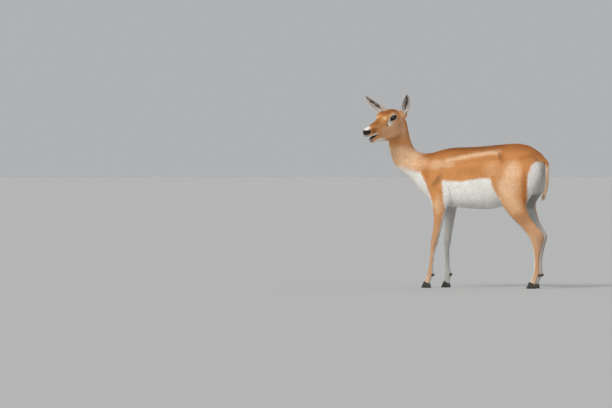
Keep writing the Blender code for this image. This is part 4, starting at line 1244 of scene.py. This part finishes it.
def lidPoint(side, angle, grow, rise):
    centre, axis, along, across = eyeFrame(side)
    up = across if across[2] > 0 else -across
    c, s = math.cos(angle), math.sin(angle)
    power = 2 / headPose["ovalPower"]
    a = (headPose["opening"][0] + grow) * math.copysign(abs(c) ** power, c)
    b = (headPose["opening"][1] + grow) * math.copysign(abs(s) ** power, s)
    b -= headPose["cornerDrop"] * max(a / headPose["opening"][0], 0) ** 2
    flat = along * a + up * b
    reach = eyeSettings["ball"] + lidSettings["overBall"] + rise
    spare = reach**2 - flat.dot(flat)
    least = reach * lidSettings["levelFrom"]
    return centre + flat + axis * (math.sqrt(spare) if spare > least**2 else least)


def buildLids(sideName, side):
    columns = lidSettings["columns"]
    angles = [math.pi * (2 * i / columns - 1) for i in range(columns)]
    rings = [[lidPoint(side, a, grow, rise) for a in angles] for grow, rise in lidSettings["rings"]]
    outer = [lidPoint(side, a, lidSettings["meetSkin"], lidSettings["sink"]) for a in angles]
    places, facings = nearest(skinTree, fromHead(outer))
    outer = toHead(places - facings * lidSettings["sink"])
    rings.append(np.array(rings[-1]) * 0.5 + outer * 0.5 + eyeFrame(side)[1] * 0.0003)
    rings.append(outer)
    rings.append([lidPoint(side, a, *lidSettings["tuck"]) for a in angles])
    points = fromHead(np.concatenate([np.array(ring) for ring in rings]))
    faces = [[i % len(points) for i in face] for face in ringFaces(len(rings) + 1, columns)]
    item = addMesh("eyelids_" + sideName, points, faces, skinMaterial)
    facesOutward(item)
    smooth = item.modifiers.new("round", "SUBSURF")
    smooth.levels = smooth.render_levels = 1
    applyModifiers(item)
    item.data.shade_smooth()
    paint(item.data, coatMarks(*meshArrays(item.data)[:2]))
    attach(item, "root")


for sideName, side in (("left", 1), ("right", -1)):
    buildEye(sideName, side)
    buildLids(sideName, side)
print("eyes and lids done")

# Horn of hooves and dewclaws
hornSettings = {
    "dark": linear(22, 19, 18),
    "light": linear(62, 54, 48),
    "ringScale": (60.0, 60.0, 520.0),
    "ringDetail": 3.0,
    "roughness": 0.34,
    "worn": 0.25,
    "bumpDistance": 0.0006,
}


def buildHornMaterial():
    material, nodes, links = newMaterial("dark horn")
    shader = nodes["Principled BSDF"]
    place = addNode(nodes, "ShaderNodeNewGeometry").outputs["Position"]
    rings = noiseNode(nodes, links, place, 1.0, hornSettings["ringDetail"], hornSettings["ringScale"])
    colour = mixColour(nodes, links, rings, hornSettings["dark"], hornSettings["light"])
    links.new(colour, shader.inputs["Base Color"])
    worn = mathNode(nodes, links, "MULTIPLY", rings, hornSettings["worn"])
    links.new(mathNode(nodes, links, "ADD", worn, hornSettings["roughness"]), shader.inputs["Roughness"])
    bumpInto(nodes, links, shader, rings, 0.6, hornSettings["bumpDistance"])
    return material


hornMaterial = buildHornMaterial()
hornNodes = [node for name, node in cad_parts.items() if name.startswith(("hoof", "dewclaw"))]
for node in hornNodes:
    for slot in node.material_slots:
        slot.material = hornMaterial
print("horn:", len(hornNodes), "hooves and dewclaws")

# Coat: short tufts that lie along the body, from roots spread over the skin
coatSettings = {
    "thinning": 1,
    "bodyDensity": 118000,  # tufts to the square metre
    "legDensity": 170000,
    "faceDensity": 300000,
    "earDensity": 240000,
    "tailDensity": 400000,
    "widthShare": 0.125,  # of the length
    "leastWidth": 0.0007,
    "hangingWidth": 0.0014,
    "spread": 9.0,  # degrees from the way the hair lies
    "hangingSpread": 4,
    "lengthShares": (0.75, 0.5),  # the least, and how much more at random
    "riseShares": (0.6, 0.8),
    "middleRise": 0.55,  # share of the tip's height over the skin
    "ridge": 0.36,  # share of the width
    "rootWidth": 0.8,
    "rootDepth": 0.0003,
    "drawIn": 0.35,  # of hair that hangs free
    "lean": 0.5,  # of the normals at a blade's sides
    "bodyLift": 0.07,
    "earLift": 0.08,
    "wander": 0.15,  # how far a tuft takes its tone from, in lengths
    "earWander": 0.0006,
    "mostInPiece": 18500,
    "patch": 0.003,
    "bodyUnwrap": 0.06,  # share of the faces kept for the unwrap
    "earUnwrap": 0.15,
}
hairLengths = {
    "body": 0.0115,
    "bellyMore": 0.003,
    "rumpMore": 0.003,
    "leg": 0.0080,
    "shank": 0.0052,
    "face": 0.0058,
    "muzzleLess": 0.0028,
    "lipLess": 0.45,
    "tail": 0.012,
    "tailMore": 0.012,
    "ear": 0.0052,
    "earInnerMore": 0.0045,
    "earTipLess": 0.45,
}
# one tuft: three corners at the root, three halfway, and the tip
bladeFaces = (
    (0, 2, 1), (0, 1, 4), (0, 4, 3), (1, 2, 5), (1, 5, 4),
    (2, 0, 3), (2, 3, 5), (3, 4, 6), (4, 5, 6), (5, 3, 6),
)
bladeUnwrap = ((0, 0), (1, 0), (0.5, 0.1), (0, 0.6), (1, 0.6), (0.5, 0.6), (0.5, 1))
bladeTips = (0, 0, 0.1, 0.55, 0.55, 0.6, 1.0)  # 0 at the root, 1 at the tip
regionEdges = {  # heights and x where the coat is parted into pieces
    "legTop": 0.42,
    "betweenLegs": 0.02,
    "neckBack": -0.27,
    "quartersFront": 0.20,
    "tailTip": 0.4625,
}


def unwrapped(surface, ratio):
    # a function from places on this surface to places on its unwrap
    item = addMesh("unwrap", surface[0], surface[2].tolist())
    item.modifiers.new("thin out", "DECIMATE").ratio = ratio
    applyModifiers(item)
    bpy.ops.object.select_all(action="DESELECT")
    item.select_set(True)
    bpy.context.view_layer.objects.active = item
    bpy.ops.object.mode_set(mode="EDIT")
    bpy.ops.mesh.select_all(action="SELECT")
    bpy.ops.uv.smart_project(angle_limit=math.radians(66), island_margin=0.004)
    bpy.ops.object.mode_set(mode="OBJECT")
    mesh = item.data
    places, _, vertices = meshArrays(mesh)
    corners = np.array([t.loops for t in mesh.loop_triangles])
    layer = np.empty(len(mesh.loops) * 2)
    mesh.uv_layers.active.data.foreach_get("uv", layer)
    layer = layer.reshape(-1, 2)
    tree = treeOf((places, None, vertices))
    bpy.data.objects.remove(item)

    def find(wanted):
        found = np.empty((len(wanted), 2))
        for index, point in enumerate(wanted):
            place, _, triangle, _ = tree.find_nearest(point)
            a, b, c = places[vertices[triangle]]
            ab, ac, ap = b - a, c - a, np.array(place) - a
            d00, d01, d11 = ab @ ab, ab @ ac, ac @ ac
            d20, d21 = ap @ ab, ap @ ac
            under = max(d00 * d11 - d01 * d01, 1e-20)
            v, w = (d11 * d20 - d01 * d21) / under, (d00 * d21 - d01 * d20) / under
            onA, onB, onC = layer[corners[triangle]]
            found[index] = (1 - v - w) * onA + v * onB + w * onC
        return found

    return find


def scatter(surface, density):
    points, normals, triangles = surface
    corners = points[triangles]
    area = np.linalg.norm(np.cross(corners[:, 1] - corners[:, 0], corners[:, 2] - corners[:, 0]), axis=1) / 2
    facing = unit(normals[triangles].sum(1))
    wanted = area * density(corners.mean(1), facing) / coatSettings["thinning"]
    counts = np.floor(wanted + rng.random(len(wanted))).astype(int)
    chosen = np.repeat(np.arange(len(triangles)), counts)
    u, v = rng.random(len(chosen)), rng.random(len(chosen))
    flip = u + v > 1
    u[flip], v[flip] = 1 - u[flip], 1 - v[flip]
    weights = np.stack([1 - u - v, u, v], 1)[:, :, None]
    roots = (corners[chosen] * weights).sum(1)
    return roots, unit((normals[triangles[chosen]] * weights).sum(1))


def atRandom(shares, count):
    least, more = coatSettings[shares]
    return least + more * rng.random(count)


def tuftBlades(hanging, surface, roots, facings, flow, lengths, lift, loose):
    # seven places for each tuft, and the normals there, blended from the skin's
    tree, count = treeOf(surface), len(roots)
    spread = np.where(hanging, coatSettings["hangingSpread"], coatSettings["spread"])
    swing = np.radians(rng.normal(0, 1, count) * spread)[:, None]
    flow = unit(flow - facings * (flow * facings).sum(1)[:, None])
    flow = unit(flow * np.cos(swing) + np.cross(facings, flow) * np.sin(swing))
    across = np.cross(facings, flow)
    lengths = lengths * atRandom("lengthShares", count)
    widths = np.maximum(lengths * coatSettings["widthShare"], coatSettings["leastWidth"])
    widths = np.where(hanging, np.minimum(widths, coatSettings["hangingWidth"]), widths)
    rise = lift * atRandom("riseShares", count)
    half = (lengths * 0.5)[:, None]
    middle, middleFacing = nearest(tree, roots + flow * half)
    tip, tipFacing = nearest(tree, middle + unit(middle - roots + flow * 1e-6) * half)
    loose = loose[:, None]  # 1 on hair that hangs on past the end of the surface
    middle = middle + loose * (roots + flow * half - middle)
    tip = tip + loose * (roots + (flow * 2 - facings * coatSettings["drawIn"]) * half - tip)
    middleFacing = unit(middleFacing + loose * (facings - middleFacing))
    tipFacing = unit(tipFacing + loose * (facings - tipFacing))
    middle = middle + middleFacing * (rise * coatSettings["middleRise"] * lengths)[:, None]
    tip = tip + tipFacing * (rise * lengths)[:, None]
    sideways = (across * widths[:, None]) / 2
    ridge = (widths * coatSettings["ridge"])[:, None]
    low = roots - facings * coatSettings["rootDepth"]
    rows = [low - sideways * coatSettings["rootWidth"], low + sideways * coatSettings["rootWidth"]]
    rows += [low + facings * ridge, middle - sideways, middle + sideways, middle + middleFacing * ridge, tip]
    lean = unit(across) * coatSettings["lean"]
    ways = [facings - lean, facings + lean, facings]
    ways += [middleFacing - lean, middleFacing + lean, middleFacing, tipFacing]
    return np.stack(rows, 1), np.stack([unit(way) for way in ways], 1)


def splitPieces(names, heights):  # the tufts of one region, from low to high, a piece at a time
    order = np.lexsort((heights, names))
    pieces, start = [], 0
    while start < len(order):
        name, stop = names[order[start]], start
        last = min(start + coatSettings["mostInPiece"], len(order))
        while stop < last and names[order[stop]] == name:
            stop += 1
        pieces.append((name, order[start:stop]))
        start = stop
    return pieces


def growTufts(names, surface, roots, facings, flow, lengths, lift, loose, marks, ratio, slotName):
    hanging = np.char.startswith(names, "tail")
    vertices, normals = tuftBlades(hanging, surface, roots, facings, flow, lengths, lift, loose)
    chance = rng.random(len(roots))
    uvRoots = unwrapped(surface, ratio)(roots)
    uvPatch = np.array(bladeUnwrap) * coatSettings["patch"]
    size = len(bladeTips)
    pieces = splitPieces(names, roots[:, 2])
    for number, (name, members) in enumerate(pieces):
        count = len(members)
        corners = (np.array(bladeFaces)[None] + (np.arange(count) * size)[:, None, None]).reshape(-1)
        mesh = bpy.data.meshes.new(name)
        mesh.vertices.add(count * size)
        mesh.vertices.foreach_set("co", vertices[members].ravel())
        mesh.loops.add(len(corners))
        mesh.loops.foreach_set("vertex_index", corners.astype(np.int32))
        mesh.polygons.add(len(corners) // 3)
        mesh.polygons.foreach_set("loop_start", np.arange(0, len(corners), 3, dtype=np.int32))
        mesh.update(calc_edges=True)
        mesh.shade_smooth()
        if name != "tail_tip":  # hair that hangs free keeps its own normals
            mesh.normals_split_custom_set_from_vertices(normals[members].reshape(-1, 3))
        uvs = (uvRoots[members][:, None, :] + uvPatch[None]).reshape(-1, 2)
        mesh.uv_layers.new(name="OFBake").data.foreach_set("uv", uvs[corners].astype(np.float32).ravel())
        tones = {tone: np.repeat(part[members], size) for tone, part in marks.items()}
        paint(mesh, tones, np.repeat(chance[members], size), np.tile(np.array(bladeTips), count))
        mesh.materials.append(hairMaterial)
        item = addObject("coat_" + name + "_" + str(number + 1), mesh)
        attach(item, "root")
    print("coat:", slotName, len(roots), "tufts in", len(pieces), "pieces")


def bareShare(points, onHead):  # where no hair grows: nose pad, eyes, inside of the mouth
    bare = ramp(0.45, 0.60, coatMarks(points, np.zeros_like(points))["black"])
    for side in (1, -1):
        roundness, outer = eyeOval(toHead(points), side)
        bare = np.maximum(bare, ramp(1.22, 1.12, roundness) * ramp(-0.004, 0.002, outer))
    return bare * onHead


def tailHair(points, measures):
    return tailShare(points) * zone("tailHair", measures)


def bodyDensity(points, facings):
    measures = surfaceMeasures(points, facings)
    onHead, onTail = zone("hairyHead", measures), tailHair(points, measures)
    amount = coatSettings["bodyDensity"]
    for share, name in ((zone("legs", measures), "leg"), (onHead, "face"), (onTail, "tail")):
        amount = amount + share * (coatSettings[name + "Density"] - amount)
    amount = amount * (1 - onTail * zone("tailUnder", measures)) * (1 - onTail * zone("tailEnd", measures))
    return amount * (1 - bareShare(points, onHead)) * zone("aboveHoof", measures)


def bodyFlow(points, facings):  # the way the hair lies
    measures = placeMeasures(points)
    x, y, z = measures["x"], measures["y"], measures["z"]
    _, hy, hz = toHead(points).T
    ones = np.ones(len(points))
    flow = np.stack([ones, 0 * ones, -0.25 - 0.55 * ramp(0.62, 0.50, z)], 1)
    rump = np.stack([0.35 * ones, 0.25 * np.sign(y), -ones], 1)
    legs = np.stack([0.12 * ones, 0 * ones, -ones], 1)
    neck = np.stack([0.55 * ones, 0.05 * ones, -ones], 1)
    for name, way in (("rumpFlow", rump), ("legFlow", legs), ("neckFlow", neck)):
        flow = flow + zone(name, measures)[:, None] * (unit(way) - flow)
    underTail = ramp(-0.05, -0.5, facings[:, 0])
    hanging = np.stack([-0.32 * underTail + 0.02, (3.0 - 12.0 * ramp(0.47, 0.44, z)) * y, -ones], 1)
    flow = flow + tailHair(points, measures)[:, None] * (unit(hanging) - flow)
    wave = np.stack([0 * x, np.sin(x * 37 + z * 21), np.sin(x * 29 - z * 33 + 1.3)], 1)
    flow = unit(flow) + 0.10 * wave
    outward = 0.25 * np.sign(hy) * ramp(0.005, 0.02, abs(hy))
    back = np.stack([-ones, outward, -0.15 - 0.35 * ramp(0.02, -0.03, hz)], 1)
    return unit(flow + zone("hairyHead", measures)[:, None] * (unit(back) @ headRows.T - flow))


def bodyLengths(points):
    measures = placeMeasures(points)
    hx, hz, z = measures["headX"], measures["headZ"], measures["z"]
    size = hairLengths["body"] + hairLengths["bellyMore"] * zone("longBelly", measures)
    size = size + hairLengths["rumpMore"] * zone("longRump", measures)
    size = size + zone("legs", measures) * (hairLengths["leg"] - size)
    size = size + zone("shank", measures) * (hairLengths["shank"] - size)
    face = hairLengths["face"] - hairLengths["muzzleLess"] * ramp(0.10, 0.20, hx)
    lip = ramp(0.010, 0.004, abs(hz + 0.036)) * zone("muzzle", measures)
    face = face * (1 - hairLengths["lipLess"] * lip)
    size = size + zone("hairyHead", measures) * (face - size)
    hanging = hairLengths["tail"] + hairLengths["tailMore"] * ramp(0.60, 0.53, z)
    hanging = np.clip(hanging, 0.006, np.maximum(z - 0.421, 0.008))  # ends at the tail's own tip
    return size + tailHair(points, measures) * (hanging - size)


def regionNames(points):
    measures = placeMeasures(points)
    x, y, z = measures["x"], measures["y"], measures["z"]
    onTail = tailShare(points) > 0.5
    names = np.where(y < 0, "side_left", "side_right").astype(object)
    above, below = z > regionEdges["legTop"], z < regionEdges["legTop"]
    names[below] = "fore_legs"
    names[below & (x > regionEdges["betweenLegs"])] = "hind_legs"
    names[above & (x < regionEdges["neckBack"])] = "neck"
    names[above & (x > regionEdges["quartersFront"])] = "hindquarters"
    names[zone("hairyHead", measures) > 0.5] = "head"
    names[onTail] = "tail"
    names[onTail & (z < regionEdges["tailTip"])] = "tail_tip"
    return names.astype(str)


def growBodyCoat():
    roots, facings = scatter(skinSurface, bodyDensity)
    measures = placeMeasures(roots)
    lengths = bodyLengths(roots)
    wander = rng.normal(0, 1, (len(roots), 3)) * (lengths * coatSettings["wander"])[:, None]
    marks = coatMarks(roots + wander, facings)
    marks["black"] = marks["black"] * (zone("hairyHead", measures) < 0.5)
    loose = tailShare(roots) * zone("tailLoose", measures)
    flow, lift, ratio = bodyFlow(roots, facings), coatSettings["bodyLift"], coatSettings["bodyUnwrap"]
    names = regionNames(roots)
    growTufts(names, skinSurface, roots, facings, flow, lengths, lift, loose, marks, ratio, "tan_coat")


def growEarCoat(sideName, surface):
    def density(points, facings):
        share, _, inward, _ = earPlace(points, facings, sideName)
        return coatSettings["earDensity"] * ramp(-0.06, -0.01, share) * (1 - 0.55 * ramp(0.0, 0.3, inward))

    roots, facings = scatter(surface, density)
    share, _, inward, _ = earPlace(roots, facings, sideName)
    flow = np.tile(earAxes(sideName)[2] @ headRows.T, (len(roots), 1))
    inner = ramp(0.0, 0.3, inward) * ramp(0.1, 0.25, share)
    lengths = hairLengths["ear"] + hairLengths["earInnerMore"] * inner
    lengths = lengths * (1 - hairLengths["earTipLess"] * ramp(0.80, 1.0, share))
    wander = rng.normal(0, coatSettings["earWander"], roots.shape)
    marks = earMarks(roots + wander, facings, sideName)
    names, loose = np.full(len(roots), "ear_" + sideName), np.zeros(len(roots))
    lift, ratio = coatSettings["earLift"], coatSettings["earUnwrap"]
    growTufts(names, surface, roots, facings, flow, lengths, lift, loose, marks, ratio, "ear_coat")


growBodyCoat()
for sideName, surface in earSurfaces.items():
    growEarCoat(sideName, surface)
